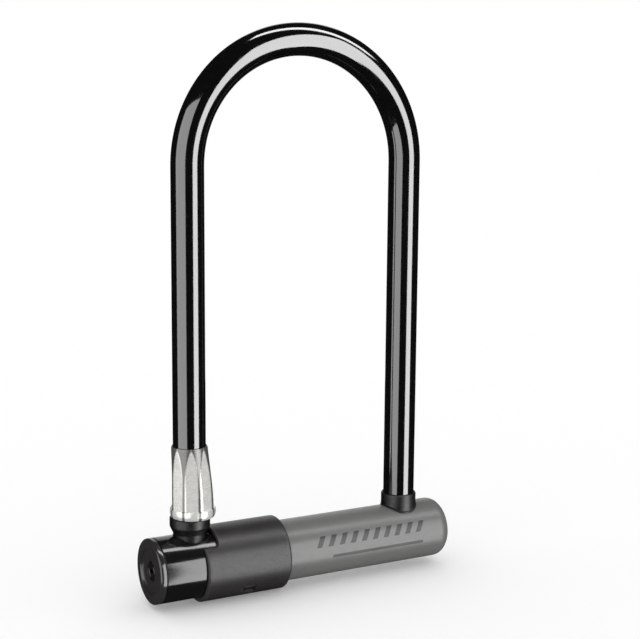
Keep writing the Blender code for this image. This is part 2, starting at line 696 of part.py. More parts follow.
def build_shaft(hard_steel, bright_steel, pivot):
    start = key_x + cage_end + GAP
    groove_radius = SHAFT_RADIUS - CLIP_GROOVE_DEPTH
    outline = [(start, 0.0), (start, SHAFT_RADIUS)]
    for clip_x in clip_stations():
        low = clip_x - GAP
        high = clip_x + CLIP_THICKNESS + GAP
        outline += [(low, SHAFT_RADIUS), (low, groove_radius), (high, groove_radius),
                    (high, SHAFT_RADIUS)]
    outline += [(shaft_end_x, SHAFT_RADIUS), (shaft_end_x, 0.0)]
    shaft = add_object("lock_shaft", turned(outline, SHAFT_SIDES), hard_steel, pivot)
    bm = bmesh.new()
    along = hole_radius + RUNNING_GAP
    reach = SHAFT_RADIUS + OVERCUT
    for leg_x in (key_leg_x, far_leg_x):
        for side in (-1, 1):
            near = side * SHAFT_FLATS / 2
            away = side * reach
            add_block(bm, (leg_x - along, min(near, away), axis_z - reach),
                      (leg_x + along, max(near, away), axis_z + reach))
    cut(shaft, add_object("flats_cutter", bm, parent=pivot))
    bm = bmesh.new()
    add_block(bm, (start - CAGE_BACK + GAP, -TANG_HALF, axis_z - TANG_HALF),
              (start + TANG_ROOT, TANG_HALF, axis_z + TANG_HALF))
    tang = add_object("tang_shape", bm, parent=pivot)
    tang.hide_render = True
    tang.display_type = "WIRE"
    join = shaft.modifiers.new("tang", "BOOLEAN")
    join.operation = "UNION"
    join.object = tang

    for name, clip_x in zip(("shaft_clip_near", "shaft_clip_far"), clip_stations()):
        outline = ring_outline(clip_x, clip_x + CLIP_THICKNESS, groove_radius + GAP,
                               groove_radius + CLIP_WIDTH)
        add_object(name, turned(outline, CLIP_SIDES), bright_steel, pivot)


def build_mid_bush(plug_steel):
    half = MID_BUSH_LENGTH / 2
    outline = ring_outline(mid_bush_x - half, mid_bush_x + half, shaft_bore, plug_radius)
    add_object("shaft_mid_bush", turned(outline, ROTOR_SIDES), plug_steel)


# ---- Build ------------------------------------------------------------------------------
def build():
    clear_scene()
    steel = make_material("hardened_steel_bar", (0.50, 0.50, 0.50), 0.35, 1.0)
    hard_steel = make_material("hardened_steel", (0.42, 0.42, 0.43), 0.35, 1.0)
    bright_steel = make_material("bright_steel", (0.62, 0.62, 0.62), 0.25, 1.0)
    satin_steel = make_material("satin_steel", (0.42, 0.42, 0.41), 0.45, 0.9)
    vinyl = make_material("black_vinyl", (0.006, 0.006, 0.006), 0.12, 0.0)
    chrome = make_material("chrome_plating", (0.82, 0.82, 0.80), 0.08, 1.0)
    rubber = make_material("black_rubber", (0.012, 0.012, 0.012), 0.5, 0.0)
    black_gloss = make_material("gloss_black_nylon", (0.012, 0.011, 0.011), 0.18, 0.0)
    black_plastic = make_material("satin_black_plastic", (0.055, 0.050, 0.050), 0.45, 0.0)
    plug_steel = make_material("turned_steel", (0.48, 0.48, 0.49), 0.5, 1.0)
    brass = make_material("brass", (0.70, 0.52, 0.25), 0.35, 1.0)

    shackle_pivot = add_pivot("shackle_pivot", (arch_x, 0.0, axis_z))
    rotor_pivot = add_pivot("rotor_pivot", (key_x, 0.0, axis_z))
    cover_pivot = add_pivot("cover_pivot", (key_x, 0.0, axis_z))

    build_shackle(shackle_pivot, steel, vinyl, chrome, rubber)
    build_tube(satin_steel)
    build_lock_head(black_gloss)
    build_pins(bright_steel)
    build_far_end(plug_steel, rubber)
    build_sleeve(black_plastic)
    build_end_face(black_gloss, hard_steel, cover_pivot)
    build_housing(brass)
    build_cage(brass, hard_steel, rotor_pivot)
    for number in range(1, DISC_COUNT + 1):
        build_disc(number, brass, rotor_pivot)
    build_shaft(hard_steel, bright_steel, rotor_pivot)
    build_mid_bush(plug_steel)


build()
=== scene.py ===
import math

import bmesh
import bpy
from mathutils import Matrix, Vector


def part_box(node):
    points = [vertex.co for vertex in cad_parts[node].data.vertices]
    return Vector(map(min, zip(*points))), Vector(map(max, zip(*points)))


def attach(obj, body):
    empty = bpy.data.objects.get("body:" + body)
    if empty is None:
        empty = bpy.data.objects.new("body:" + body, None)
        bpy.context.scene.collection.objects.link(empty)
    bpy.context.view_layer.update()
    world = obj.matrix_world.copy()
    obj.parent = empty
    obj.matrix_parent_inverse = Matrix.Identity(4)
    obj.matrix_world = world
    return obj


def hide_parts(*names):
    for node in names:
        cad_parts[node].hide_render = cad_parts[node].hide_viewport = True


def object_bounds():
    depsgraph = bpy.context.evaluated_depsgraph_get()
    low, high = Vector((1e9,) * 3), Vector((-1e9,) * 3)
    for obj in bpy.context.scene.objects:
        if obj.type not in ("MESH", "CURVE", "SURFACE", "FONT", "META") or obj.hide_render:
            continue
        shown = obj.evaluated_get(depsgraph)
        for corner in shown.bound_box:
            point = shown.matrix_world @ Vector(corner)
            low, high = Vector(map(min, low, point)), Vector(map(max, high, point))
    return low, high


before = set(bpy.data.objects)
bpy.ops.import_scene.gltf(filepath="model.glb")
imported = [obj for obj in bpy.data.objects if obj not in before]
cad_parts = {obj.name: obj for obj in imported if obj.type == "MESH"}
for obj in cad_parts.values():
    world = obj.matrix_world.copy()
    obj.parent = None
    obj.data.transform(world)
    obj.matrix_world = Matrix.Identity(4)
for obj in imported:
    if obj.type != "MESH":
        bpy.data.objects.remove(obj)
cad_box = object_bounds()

# ---- Camera -------------------------------------------------------------------------------
CAMERA_AZIMUTH = math.radians(-28.37)
CAMERA_ELEVATION = math.radians(9.67)
CAMERA_ROLL = math.radians(0.457)
CAMERA_DISTANCE = 0.7237
CAMERA_LENS = 82.2
SENSOR_WIDTH = 36.0
AIM_ABOVE_AXIS = 0.1159
AIM_FROM_ARCH = 0.0117

# ---- Fits and small sizes -----------------------------------------------------------------
SEAT_FIT = 0.0003            # between pieces that seat on each other
SLIDE_FIT = 0.0004           # between pieces that slide or turn
SKIN = 0.00005               # keeps two surfaces that lie together from flickering
OVERCUT = 0.001              # how far a cutter runs past the surface that it cuts
TIP_CLEARANCE = 0.0006
SMOOTH_ANGLE = math.radians(32)
ROUND_SIDES = 160
ROD_SIDES = 64
PIN_HOLE_SIDES = 32
SMALL_ROUND_SIDES = 96
ARC_STEPS = 5
MERGE_DISTANCE = 1e-7
DEGENERATE_DISTANCE = 1e-8
ON_AXIS = 1e-9               # a radius below this is a point on the axis

# ---- Shackle sizes ------------------------------------------------------------------------
LEG_STEPS = 24
ARCH_STEPS = 120
BAR_SIDES = 64
BAR_TIP_CHAMFER = 0.0009
SLOT_SIDE_FIT = 0.0003
SHAFT_FLATS = 0.0038
KEYHOLE_STEPS = 40

FERRULE_BAND = 0.0045
FERRULE_WALL = 0.0005
FERRULE_OUTER_FLARE = 0.0002
FERRULE_FLARE = 0.0034
FERRULE_SWELL = 1.15         # power of the swelling towards the foot
FERRULE_RIM_SHARE = 0.4      # share of its wall by which the top edge is drawn in
FERRULE_BAND_STEP = 0.00055
BAND_PROFILE = (             # (share of the band's height, share of its step), from the top
    (0.96, 0.35), (0.86, 0.85), (0.74, 1.0), (0.42, 1.0), (0.30, 0.90), (0.12, 0.45), (0.0, 0.0),
)
BAND_TUCK_START = 0.3        # below this share of its height the band draws in
BAND_TUCK_FOOT = 0.82
BAND_TUCK_SLOPE = 0.6
FLAT_COUNT = 8
FLAT_STEPS = 24              # points across one flat
FLAT_HALF = math.radians(18.6)
FLAT_FIRST = 0.03            # share of the way down at which the flats' points begin
FLAT_FULL = 0.55             # and at which they reach their full width
LEAF_POWER = 0.62
FERRULE_STATIONS = 48

BOOT_STEP = 0.0016
BOOT_NECK = 0.0011           # above the lock head, where the boot starts to widen
BOOT_SKIRT = 0.0045          # above the lock head, where it has its full width
BOOT_FOOT_FILLET = 0.0004
BOOT_FLARE_FILLET = 0.0012
BOOT_TOP_FILLET = 0.0005

# ---- Crossbar sizes -----------------------------------------------------------------------
TUBE_WALL = 0.0023
TUBE_RIM_FILLET = 0.0003
TUBE_STATIONS = 40
TUBE_STATION_MARGIN = 0.0005
FAR_FILLET = 0.0055

HEAD_RIM_FILLET = 0.0003
SPIGOT_FILLET = 0.0005
MOUTH_SIDES = 72

BEZEL_EDGE_FILLET = 0.0013
BEZEL_BACK_FILLET = 0.00025
DISH_RADIUS_INSET = 0.0046
DISH_DEPTH = 0.0012
DISH_SLOPE = 0.0006
DISH_RIM_FILLET = 0.0003
DISH_FLOOR_FILLET = 0.0004
DISH_EDGE_FILLET = 0.0001    # where the dish's floor meets the dust cover

COVER_LIP = 0.0008
COVER_FLANGE = 0.0011
COVER_EDGE_FILLET = 0.0003
COVER_GROOVE = (0.62, 0.66, 0.74, 0.78)      # shares of the radius: edge, floor, floor, edge
COVER_GROOVE_DEPTH = 0.00018
KEY_SLOT_HEIGHT = 0.0052
KEY_SLOT_WIDTH = 0.0018

SLEEVE_STATIONS = 30
SLEEVE_STATION_MARGIN = 0.002
SLEEVE_MOUTH_FILLET = 0.0006
SLEEVE_END_FILLET = 0.0012
SCOOP_CLEARANCE = 0.0002     # from the boot's skirt to the scoop's end wall
SCOOP_DEPTH = 0.00465        # below the top of the lock head
SCOOP_CORNER = 0.0030
CORNER_STEPS = 10
WINDOW_START = 0.02155       # from the key-end leg's axis
WINDOW_LENGTH = 0.0075
WINDOW_HALF_WIDTH = 0.0022
WINDOW_ANGLE = math.radians(-40.5)
TONGUE_GAP = 0.0005
TONGUE_SUNK = 0.0016
TONGUE_BEVEL = 0.0003
TONGUE_BEVEL_STEPS = 3

SEAL_FOOT = 0.00035          # how far the foot reaches past the collar
SEAL_FOOT_RIM = 0.0006
SEAL_FOOT_SLOPE = 0.0004
SEAL_FOOT_THICK = 0.0009
SEAL_NECK = ((0.0002, 0.0004), (0.0, 0.0010))                # (past the collar, above the foot)
SEAL_RIM = ((0.0, 0.0007), (0.0002, 0.0002), (0.0005, 0.0))  # (inside the collar, below the top)

# ---- Printed ornament ---------------------------------------------------------------------
BAR_COUNT = 10
BAR_PITCH = 0.0064
BAR_SHARE = 0.46
BAR_SLANT = 0.55
BAR_ROW = (math.radians(13.0), math.radians(34.0))
LINE_ROW = (math.radians(-10.0), math.radians(-4.0))
PRINT_START = 0.0
PRINT_END = BAR_COUNT * BAR_PITCH
LINE_INSET = 0.011

# ---- Material values: linear colours, scales per metre, depths in metres --------------------
NOISE_DETAIL = 3.0
NOISE_ROUGHNESS = 0.55
NOISE_LOW = 0.35             # the noise below this counts as 0,
NOISE_HIGH = 0.65            # and above this as 1
WORN_EDGES = dict(low=0.0, high=1.0, start=0.51, stop=0.57)

VINYL = dict(colour=(0.0025, 0.0025, 0.003), roughness=0.09, IOR=1.8)
VINYL_CLOUD = dict(scale=90.0, dark=(0.0018, 0.0018, 0.0022), light=(0.0042, 0.0042, 0.0046))
VINYL_SHEEN = dict(scale=260.0, smooth=0.055, rough=0.12)
VINYL_RIPPLE = dict(scale=45.0, detail=1.0, depth=0.00012, strength=0.35)
VINYL_PEEL = dict(scale=1400.0, detail=2.0, depth=0.000006, strength=0.6)

CHROME = dict(colour=(0.80, 0.79, 0.76), roughness=0.28, metallic=0.35)
CHROME_CLOUD = dict(scale=70.0, dark=(0.80, 0.79, 0.76), light=(0.88, 0.875, 0.85))
# Painted reflection: the ridges' darker grey stands in for the dark surroundings that the chrome
# reflects.
CHROME_RIDGE_REFLECTION_SHADE = (0.13, 0.128, 0.12)
CHROME_SHEEN = dict(scale=340.0, smooth=0.25, rough=0.31)
CHROME_LINES = dict(scale=2600.0, depth=0.000003, strength=0.25)
CHROME_LINES_STRETCH = (1.0, 1.0, 0.08)
RIDGE_BLUR = math.radians(2.0)

RUBBER = dict(colour=(0.005, 0.006, 0.005), roughness=0.4, Specular_IOR_Level=0.32)
RUBBER_CLOUD = dict(scale=300.0, dark=(0.003, 0.0036, 0.003), light=(0.008, 0.0095, 0.008))
RUBBER_WORN = (0.018, 0.020, 0.018)
RUBBER_SHEEN = dict(scale=700.0, smooth=0.30, rough=0.46)
RUBBER_GRAIN = dict(scale=4200.0, depth=0.00002, strength=0.7)

LACQUER = dict(colour=(0.17, 0.17, 0.166), roughness=0.34, metallic=0.03,
               Specular_IOR_Level=0.18, Coat_Weight=0.05, Coat_Roughness=0.16)
LACQUER_CLOUD = dict(scale=60.0, dark=(0.158, 0.158, 0.154), light=(0.188, 0.188, 0.183))
LACQUER_SHEEN = dict(scale=420.0, smooth=0.30, rough=0.38)
LACQUER_GRAIN = dict(scale=2600.0, depth=0.000008, strength=0.5)
FLAKE_SCALE = 5200.0
FLAKE_SHARE = dict(low=0.0, high=0.35, start=0.55, stop=1.0)
FLAKE_COLOUR = (0.27, 0.27, 0.266)
INK_COLOUR = (0.022, 0.022, 0.023)
INK_DENSITY = 0.86

GLOSS = dict(roughness=0.12, IOR=1.5)
GLOSS_TINT = (1.0, 0.93, 0.92)
GLOSS_CLOUD_SCALE = 80.0
GLOSS_SHEEN = dict(scale=900.0, detail=5.0, smooth=0.10, rough=0.15)
GLOSS_SHEEN_STRETCH = (0.25, 1.0, 1.0)
GLOSS_GRAIN = dict(scale=1800.0, detail=2.0, depth=0.000005, strength=0.6)
HEAD_BLACK = dict(dark=0.005, light=0.012)
# Painted light: the end face's black is a lighter copy of the head's, standing in for the light
# reflected off that face.
FACE_BLACK_PAINTED_LIGHT = dict(dark=0.024, light=0.038)

SATIN = dict(colour=(0.030, 0.027, 0.027), roughness=0.40, Specular_IOR_Level=0.28)
SATIN_CLOUD = dict(scale=110.0, dark=(0.026, 0.0235, 0.023), light=(0.040, 0.0365, 0.036))
SATIN_WORN = (0.085, 0.080, 0.078)
SATIN_SHEEN = dict(scale=1300.0, smooth=0.30, rough=0.44)
SATIN_GRAIN = dict(scale=3800.0, detail=4.0, depth=0.000016, strength=0.8)

METAL_CLOUD_SCALE = 220.0
METAL_WORN_GAIN = 1.25
TOOL_MARK_SCALE = 2400.0
TOOL_MARK_DETAIL = 4.0
TOOL_MARK_DEPTH = 0.00001
TOOL_MARK_STRENGTH = 0.6
HARD_STEEL = dict(dark=(0.30, 0.30, 0.31), light=(0.47, 0.47, 0.48), smooth=0.24, rough=0.40,
                  stretch=(0.1, 1.0, 1.0))
OXIDE_STEEL = dict(dark=(0.035, 0.034, 0.034), light=(0.075, 0.073, 0.072), smooth=0.28,
                   rough=0.44, stretch=(1.0, 1.0, 1.0))
BAR_STEEL = dict(dark=(0.40, 0.39, 0.38), light=(0.58, 0.58, 0.57), smooth=0.24, rough=0.42,
                 stretch=(1.0, 1.0, 0.06))
TURNED_STEEL = dict(dark=(0.40, 0.40, 0.41), light=(0.56, 0.56, 0.57), smooth=0.36, rough=0.54,
                    stretch=(1.0, 0.05, 0.05))
BRIGHT_STEEL = dict(dark=(0.52, 0.52, 0.52), light=(0.68, 0.68, 0.67), smooth=0.18, rough=0.32,
                    stretch=(0.2, 1.0, 1.0))
BRASS = dict(dark=(0.55, 0.38, 0.15), light=(0.76, 0.58, 0.29), smooth=0.26, rough=0.44,
             stretch=(1.0, 0.05, 0.05))

# ---- Studio values ------------------------------------------------------------------------
FILL_STRENGTH = 0.92
GLOSSY_FLOOR = 0.012         # what gloss sees of the world
LIGHT_CENTRE = Vector((0.0, 0.0, 0.12))
SOFTBOXES = dict(            # angles in degrees, distances and sizes in metres
    left_softbox=dict(azimuth=-73.0, elevation=6.0, distance=1.0, width=1.30, height=1.30,
                      radiance=3.1),
    right_strip=dict(azimuth=28.0, elevation=-4.0, distance=1.3, width=0.80, height=1.90,
                     radiance=8.0),
    top_strip=dict(azimuth=62.0, elevation=62.0, distance=1.0, width=0.20, height=1.20,
                   radiance=10.0),
    back_softbox=dict(azimuth=152.0, elevation=12.0, distance=1.3, width=0.60, height=1.20,
                      radiance=1.0),
)
FLOOR_HALF = 6.0
FLOOR = dict(colour=(0.90, 0.90, 0.90), roughness=0.8, Emission_Color=(1.0, 1.0, 1.0, 1.0),
             Emission_Strength=0.17, Specular_IOR_Level=0.0)
FLOOR_SHEEN = dict(scale=3.0, smooth=0.75, rough=0.85)


# ---- Places and sizes, read from the frame ------------------------------------------------
def corners(node):
    low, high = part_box(node)
    return Vector(low), Vector(high)


def half_depth(node):
    low, high = corners(node)
    return (high.y - low.y) / 2


COAT_LOW, COAT_HIGH = corners("shackle_coating")
COAT_RADIUS = half_depth("shackle_coating")
STEEL_RADIUS = half_depth("shackle_bar")
TIP_Z = corners("shackle_bar")[0].z
KEY_LEG_X = COAT_LOW.x + COAT_RADIUS
FAR_LEG_X = COAT_HIGH.x - COAT_RADIUS
ARCH_X = (KEY_LEG_X + FAR_LEG_X) / 2
ARCH_RADIUS = (FAR_LEG_X - KEY_LEG_X) / 2
ARCH_Z = COAT_HIGH.z - COAT_RADIUS - ARCH_RADIUS
SHAFT_LOW, SHAFT_HIGH = corners("lock_shaft")
AXIS_Z = (SHAFT_LOW.z + SHAFT_HIGH.z) / 2
TUBE_LOW, TUBE_HIGH = corners("crossbar_tube")
TUBE_RADIUS = half_depth("crossbar_tube")
TUBE_BORE = TUBE_RADIUS - TUBE_WALL
HEAD_LOW, HEAD_HIGH = corners("lock_head")
HEAD_RADIUS = half_depth("lock_head")
SLEEVE_LOW, SLEEVE_HIGH = corners("sleeve_cover")
SLEEVE_RADIUS = half_depth("sleeve_cover")
BEZEL_LOW, BEZEL_HIGH = corners("end_bezel")
FERRULE_LOW, FERRULE_HIGH = corners("shackle_ferrule")
BOOT_LOW, BOOT_HIGH = corners("ferrule_boot")
SEAL_TOP = corners("far_hole_seal")[1].z
COVER_LOW, COVER_HIGH = corners("dust_cover")
HOLE_RADIUS = STEEL_RADIUS + SLIDE_FIT
SHAFT_RADIUS = half_depth("lock_shaft")
SHAFT_BORE = SHAFT_RADIUS + SEAT_FIT
PLUG_RADIUS = half_depth("shaft_mid_bush")
HOUSING_RADIUS = half_depth("cylinder_housing")
HEAD_TOP_Z = AXIS_Z + HEAD_RADIUS
COAT_BORE = STEEL_RADIUS + SEAT_FIT
KEY_COAT_Z = FERRULE_LOW.z + FERRULE_BAND
AXIS = Vector((0.0, 0.0, AXIS_Z))
KEY_LEG = Vector((KEY_LEG_X, 0.0, 0.0))
FAR_LEG = Vector((FAR_LEG_X, 0.0, 0.0))


# ---- Node helpers -------------------------------------------------------------------------
def new_material(name, colour, roughness, metallic=0.0, **sockets):
    material = bpy.data.materials.new(name)
    material.use_nodes = True
    tree = material.node_tree
    shader = tree.nodes["Principled BSDF"]
    shader.inputs["Base Color"].default_value = (*colour, 1.0)
    shader.inputs["Roughness"].default_value = roughness
    shader.inputs["Metallic"].default_value = metallic
    for socket, value in sockets.items():
        shader.inputs[socket.replace("_", " ")].default_value = value
    return material, tree, shader


def object_coords(tree, stretch=(1.0, 1.0, 1.0)):
    """Object coordinates in metres, stretched so that a pattern can run along one axis."""
    coords = tree.nodes.new("ShaderNodeTexCoord")
    mapping = tree.nodes.new("ShaderNodeMapping")
    mapping.inputs["Scale"].default_value = stretch
    tree.links.new(coords.outputs["Object"], mapping.inputs["Vector"])
    return mapping.outputs["Vector"]


def noise(tree, vector, scale, detail=NOISE_DETAIL):
    node = tree.nodes.new("ShaderNodeTexNoise")
    node.inputs["Scale"].default_value = scale
    node.inputs["Detail"].default_value = detail
    node.inputs["Roughness"].default_value = NOISE_ROUGHNESS
    tree.links.new(vector, node.inputs["Vector"])
    return node.outputs["Fac"]


def ramp_value(tree, source, low, high, start=NOISE_LOW, stop=NOISE_HIGH):
    node = tree.nodes.new("ShaderNodeMapRange")
    node.inputs["From Min"].default_value = start
    node.inputs["From Max"].default_value = stop
    node.inputs["To Min"].default_value = low
    node.inputs["To Max"].default_value = high
    tree.links.new(source, node.inputs["Value"])
    return node.outputs["Result"]


def mix_colour(tree, factor, first, second):
    node = tree.nodes.new("ShaderNodeMix")
    node.data_type = "RGBA"
    tree.links.new(factor, node.inputs["Factor"])
    for socket, colour in (("A", first), ("B", second)):
        target = [s for s in node.inputs if s.name == socket and s.type == "RGBA"][0]
        if isinstance(colour, tuple):
            target.default_value = (*colour, 1.0)
        else:
            tree.links.new(colour, target)
    return [s for s in node.outputs if s.type == "RGBA"][0]


def calculate(tree, operation, first, second=None, third=None):
    node = tree.nodes.new("ShaderNodeMath")
    node.operation = operation
    for index, value in enumerate((first, second, third)):
        if value is None:
            continue
        if isinstance(value, (int, float)):
            node.inputs[index].default_value = value
        else:
            tree.links.new(value, node.inputs[index])
    return node.outputs["Value"]


def bump(tree, shader, height, distance, strength, below=None):
    node = tree.nodes.new("ShaderNodeBump")
    node.inputs["Distance"].default_value = distance
    node.inputs["Strength"].default_value = strength
    tree.links.new(height, node.inputs["Height"])
    if below is not None:
        tree.links.new(below, node.inputs["Normal"])
    tree.links.new(node.outputs["Normal"], shader.inputs["Normal"])
    return node.outputs["Normal"]


def worn_edges(tree):
    """1 on convex edges and 0 on flat ground."""
    geometry = tree.nodes.new("ShaderNodeNewGeometry")
    return ramp_value(tree, geometry.outputs["Pointiness"], **WORN_EDGES)


def clouded(tree, vector, scale, dark, light):
    """A colour that drifts between a dark and a light tone."""
    return mix_colour(tree, noise(tree, vector, scale), dark, light)


def sheen(tree, shader, vector, scale, smooth, rough, detail=NOISE_DETAIL):
    """Roughness that drifts between a smooth and a rough value."""
    drift = noise(tree, vector, scale, detail)
    tree.links.new(ramp_value(tree, drift, smooth, rough), shader.inputs["Roughness"])


def grain(tree, shader, vector, scale, depth, strength, detail=NOISE_DETAIL, below=None):
    """Small relief, on top of the relief given as below."""
    return bump(tree, shader, noise(tree, vector, scale, detail), depth, strength, below)


# ---- Materials ----------------------------------------------------------------------------
def vinyl_material():
    """Glossy dipped vinyl: deep black, a slow ripple along the bar and a fine orange peel."""
    material, tree, shader = new_material("glossy_black_vinyl", **VINYL)
    flat = object_coords(tree)
    tree.links.new(clouded(tree, flat, **VINYL_CLOUD), shader.inputs["Base Color"])
    sheen(tree, shader, flat, **VINYL_SHEEN)
    ripple = grain(tree, shader, flat, **VINYL_RIPPLE)
    grain(tree, shader, flat, **VINYL_PEEL, below=ripple)
    return material


def ridge_reflection_shade_mask(tree):
    """1 on the ridges between the ferrule's leaf-shaped flats, and 0 on the flats: where the chrome
    gets its painted dark reflection.
    """
    coords = tree.nodes.new("ShaderNodeTexCoord")
    split = tree.nodes.new("ShaderNodeSeparateXYZ")
    tree.links.new(coords.outputs["Object"], split.inputs["Vector"])
    middle_x = KEY_LEG_X + FERRULE_FLARE / 4
    across = calculate(tree, "SUBTRACT", split.outputs["X"], middle_x)
    angle = calculate(tree, "ARCTAN2", split.outputs["Y"], across)
    pitch = 2 * math.pi / FLAT_COUNT
    turned = calculate(tree, "ADD", angle, 2 * math.pi)
    off_middle = calculate(tree, "SUBTRACT", calculate(tree, "MODULO", turned, pitch), pitch / 2)
    off_middle = calculate(tree, "ABSOLUTE", off_middle)
    body = FERRULE_HIGH.z - FERRULE_LOW.z - FERRULE_BAND
    below = calculate(tree, "SUBTRACT", FERRULE_HIGH.z, split.outputs["Z"])
    grown = tree.nodes.new("ShaderNodeMapRange")
    grown.inputs["From Min"].default_value = FLAT_FIRST * body
    grown.inputs["From Max"].default_value = FLAT_FULL * body
    grown.inputs["To Max"].default_value = math.pi / 2
    tree.links.new(below, grown.inputs["Value"])
    leaf = calculate(tree, "POWER", calculate(tree, "SINE", grown.outputs["Result"]), LEAF_POWER)
    half = calculate(tree, "MULTIPLY", leaf, FLAT_HALF)
    past = calculate(tree, "SUBTRACT", off_middle, half)
    return ramp_value(tree, past, 0.0, 1.0, -RIDGE_BLUR, RIDGE_BLUR)


def chrome_material():
    """Hazy satin plating on the flats, with ridges darkened by a painted reflection, clouding and
    polishing lines.
    """
    material, tree, shader = new_material("hazy_chrome", **CHROME)
    flat = object_coords(tree)
    ground = clouded(tree, flat, **CHROME_CLOUD)
    # Painted reflection: the ridges are darkened here.
    ridge_shaded = mix_colour(tree, ridge_reflection_shade_mask(tree), ground, CHROME_RIDGE_REFLECTION_SHADE)
    tree.links.new(ridge_shaded, shader.inputs["Base Color"])
    sheen(tree, shader, flat, **CHROME_SHEEN)
    grain(tree, shader, object_coords(tree, CHROME_LINES_STRETCH), **CHROME_LINES)
    return material


def rubber_material():
    """Moulded black rubber with a faint green cast, a fine grain and paler handled edges."""
    material, tree, shader = new_material("moulded_rubber", **RUBBER)
    flat = object_coords(tree)
    ground = clouded(tree, flat, **RUBBER_CLOUD)
    worn = mix_colour(tree, worn_edges(tree), ground, RUBBER_WORN)
    tree.links.new(worn, shader.inputs["Base Color"])
    sheen(tree, shader, flat, **RUBBER_SHEEN)
    grain(tree, shader, flat, **RUBBER_GRAIN)
    return material


def stripe_mask(tree):
    """A plain printed ornament on the front of the tube: a row of slanted bars and one thin line."""
    coords = tree.nodes.new("ShaderNodeTexCoord")
    split = tree.nodes.new("ShaderNodeSeparateXYZ")
    tree.links.new(coords.outputs["Object"], split.inputs["Vector"])
    along = split.outputs["X"]
    height = calculate(tree, "SUBTRACT", split.outputs["Z"], AXIS_Z)
    front = calculate(tree, "MULTIPLY", split.outputs["Y"], -1.0)
    angle = calculate(tree, "ARCTAN2", height, front)

    def between(value, low, high):
        above = calculate(tree, "GREATER_THAN", value, low)
        return calculate(tree, "MULTIPLY", above, calculate(tree, "LESS_THAN", value, high))

    slanted = calculate(tree, "MULTIPLY_ADD", angle, -BAR_SLANT * TUBE_RADIUS, along)
    phase = calculate(tree, "FRACT", calculate(tree, "DIVIDE", slanted, BAR_PITCH))
    bars = calculate(tree, "LESS_THAN", phase, BAR_SHARE)
    row = between(angle, *BAR_ROW)
    row = calculate(tree, "MULTIPLY", row, between(slanted, PRINT_START, PRINT_END))
    bars = calculate(tree, "MULTIPLY", bars, row)
    line = calculate(tree, "MULTIPLY", between(angle, *LINE_ROW),
                     between(along, PRINT_START + LINE_INSET, PRINT_END))
    return calculate(tree, "MAXIMUM", bars, line)


def tube_material():
    """Silver metallic lacquer: fine flakes over a satin ground, with a plain printed ornament."""
    material, tree, shader = new_material("satin_silver_lacquer", **LACQUER)
    flat = object_coords(tree)
    flakes = tree.nodes.new("ShaderNodeTexVoronoi")
    flakes.inputs["Scale"].default_value = FLAKE_SCALE
    tree.links.new(flat, flakes.inputs["Vector"])
    sparkle = tree.nodes.new("ShaderNodeSeparateColor")
    tree.links.new(flakes.outputs["Color"], sparkle.inputs["Color"])
    ground = clouded(tree, flat, **LACQUER_CLOUD)
    share = ramp_value(tree, sparkle.outputs["Red"], **FLAKE_SHARE)
    flaked = mix_colour(tree, share, ground, FLAKE_COLOUR)
    ink = calculate(tree, "MULTIPLY", stripe_mask(tree), INK_DENSITY)
    tree.links.new(mix_colour(tree, ink, flaked, INK_COLOUR), shader.inputs["Base Color"])
    sheen(tree, shader, flat, **LACQUER_SHEEN)
    grain(tree, shader, flat, **LACQUER_GRAIN)
    return material


def gloss_black_material(name, dark, light):
    """Polished black moulding with faint flow marks and hairline scuffs."""
    material, tree, shader = new_material(name, (dark, dark, dark), **GLOSS)
    flat = object_coords(tree)
    low = tuple(dark * channel for channel in GLOSS_TINT)
    high = tuple(light * channel for channel in GLOSS_TINT)
    ground = clouded(tree, flat, GLOSS_CLOUD_SCALE, low, high)
    tree.links.new(ground, shader.inputs["Base Color"])
    sheen(tree, shader, object_coords(tree, GLOSS_SHEEN_STRETCH), **GLOSS_SHEEN)
    grain(tree, shader, flat, **GLOSS_GRAIN)
    return material


def satin_black_material():
    """Fine spark-eroded texture on a satin black moulding, rubbed paler on its edges."""
    material, tree, shader = new_material("textured_black_plastic", **SATIN)
    flat = object_coords(tree)
    ground = clouded(tree, flat, **SATIN_CLOUD)
    worn = mix_colour(tree, worn_edges(tree), ground, SATIN_WORN)
    tree.links.new(worn, shader.inputs["Base Color"])
    sheen(tree, shader, flat, **SATIN_SHEEN)
    grain(tree, shader, flat, **SATIN_GRAIN)
    return material


def metal_material(name, dark, light, smooth, rough, stretch):
    """Machined metal: tool marks across the given stretch, cloudy tone and brighter edges."""
    material, tree, shader = new_material(name, light, (smooth + rough) / 2, 1.0)
    marks = noise(tree, object_coords(tree, stretch), TOOL_MARK_SCALE, TOOL_MARK_DETAIL)
    ground = clouded(tree, object_coords(tree), METAL_CLOUD_SCALE, dark, light)
    bright = tuple(min(1.0, channel * METAL_WORN_GAIN) for channel in light)
    tree.links.new(mix_colour(tree, worn_edges(tree), ground, bright), shader.inputs["Base Color"])
    tree.links.new(ramp_value(tree, marks, smooth, rough), shader.inputs["Roughness"])
    bump(tree, shader, marks, TOOL_MARK_DEPTH, TOOL_MARK_STRENGTH)
    return material


# ---- Mesh helpers -------------------------------------------------------------------------
def finish_mesh(name, bm, material):
    bmesh.ops.remove_doubles(bm, verts=bm.verts, dist=MERGE_DISTANCE)
    bmesh.ops.recalc_face_normals(bm, faces=bm.faces)
    mesh = bpy.data.meshes.new(name)
    bm.to_mesh(mesh)
    bm.free()
    mesh.shade_smooth()
    mesh.set_sharp_from_angle(angle=SMOOTH_ANGLE)
    mesh.materials.append(material)
    piece = bpy.data.objects.new(name, mesh)
    bpy.context.scene.collection.objects.link(piece)
    return piece


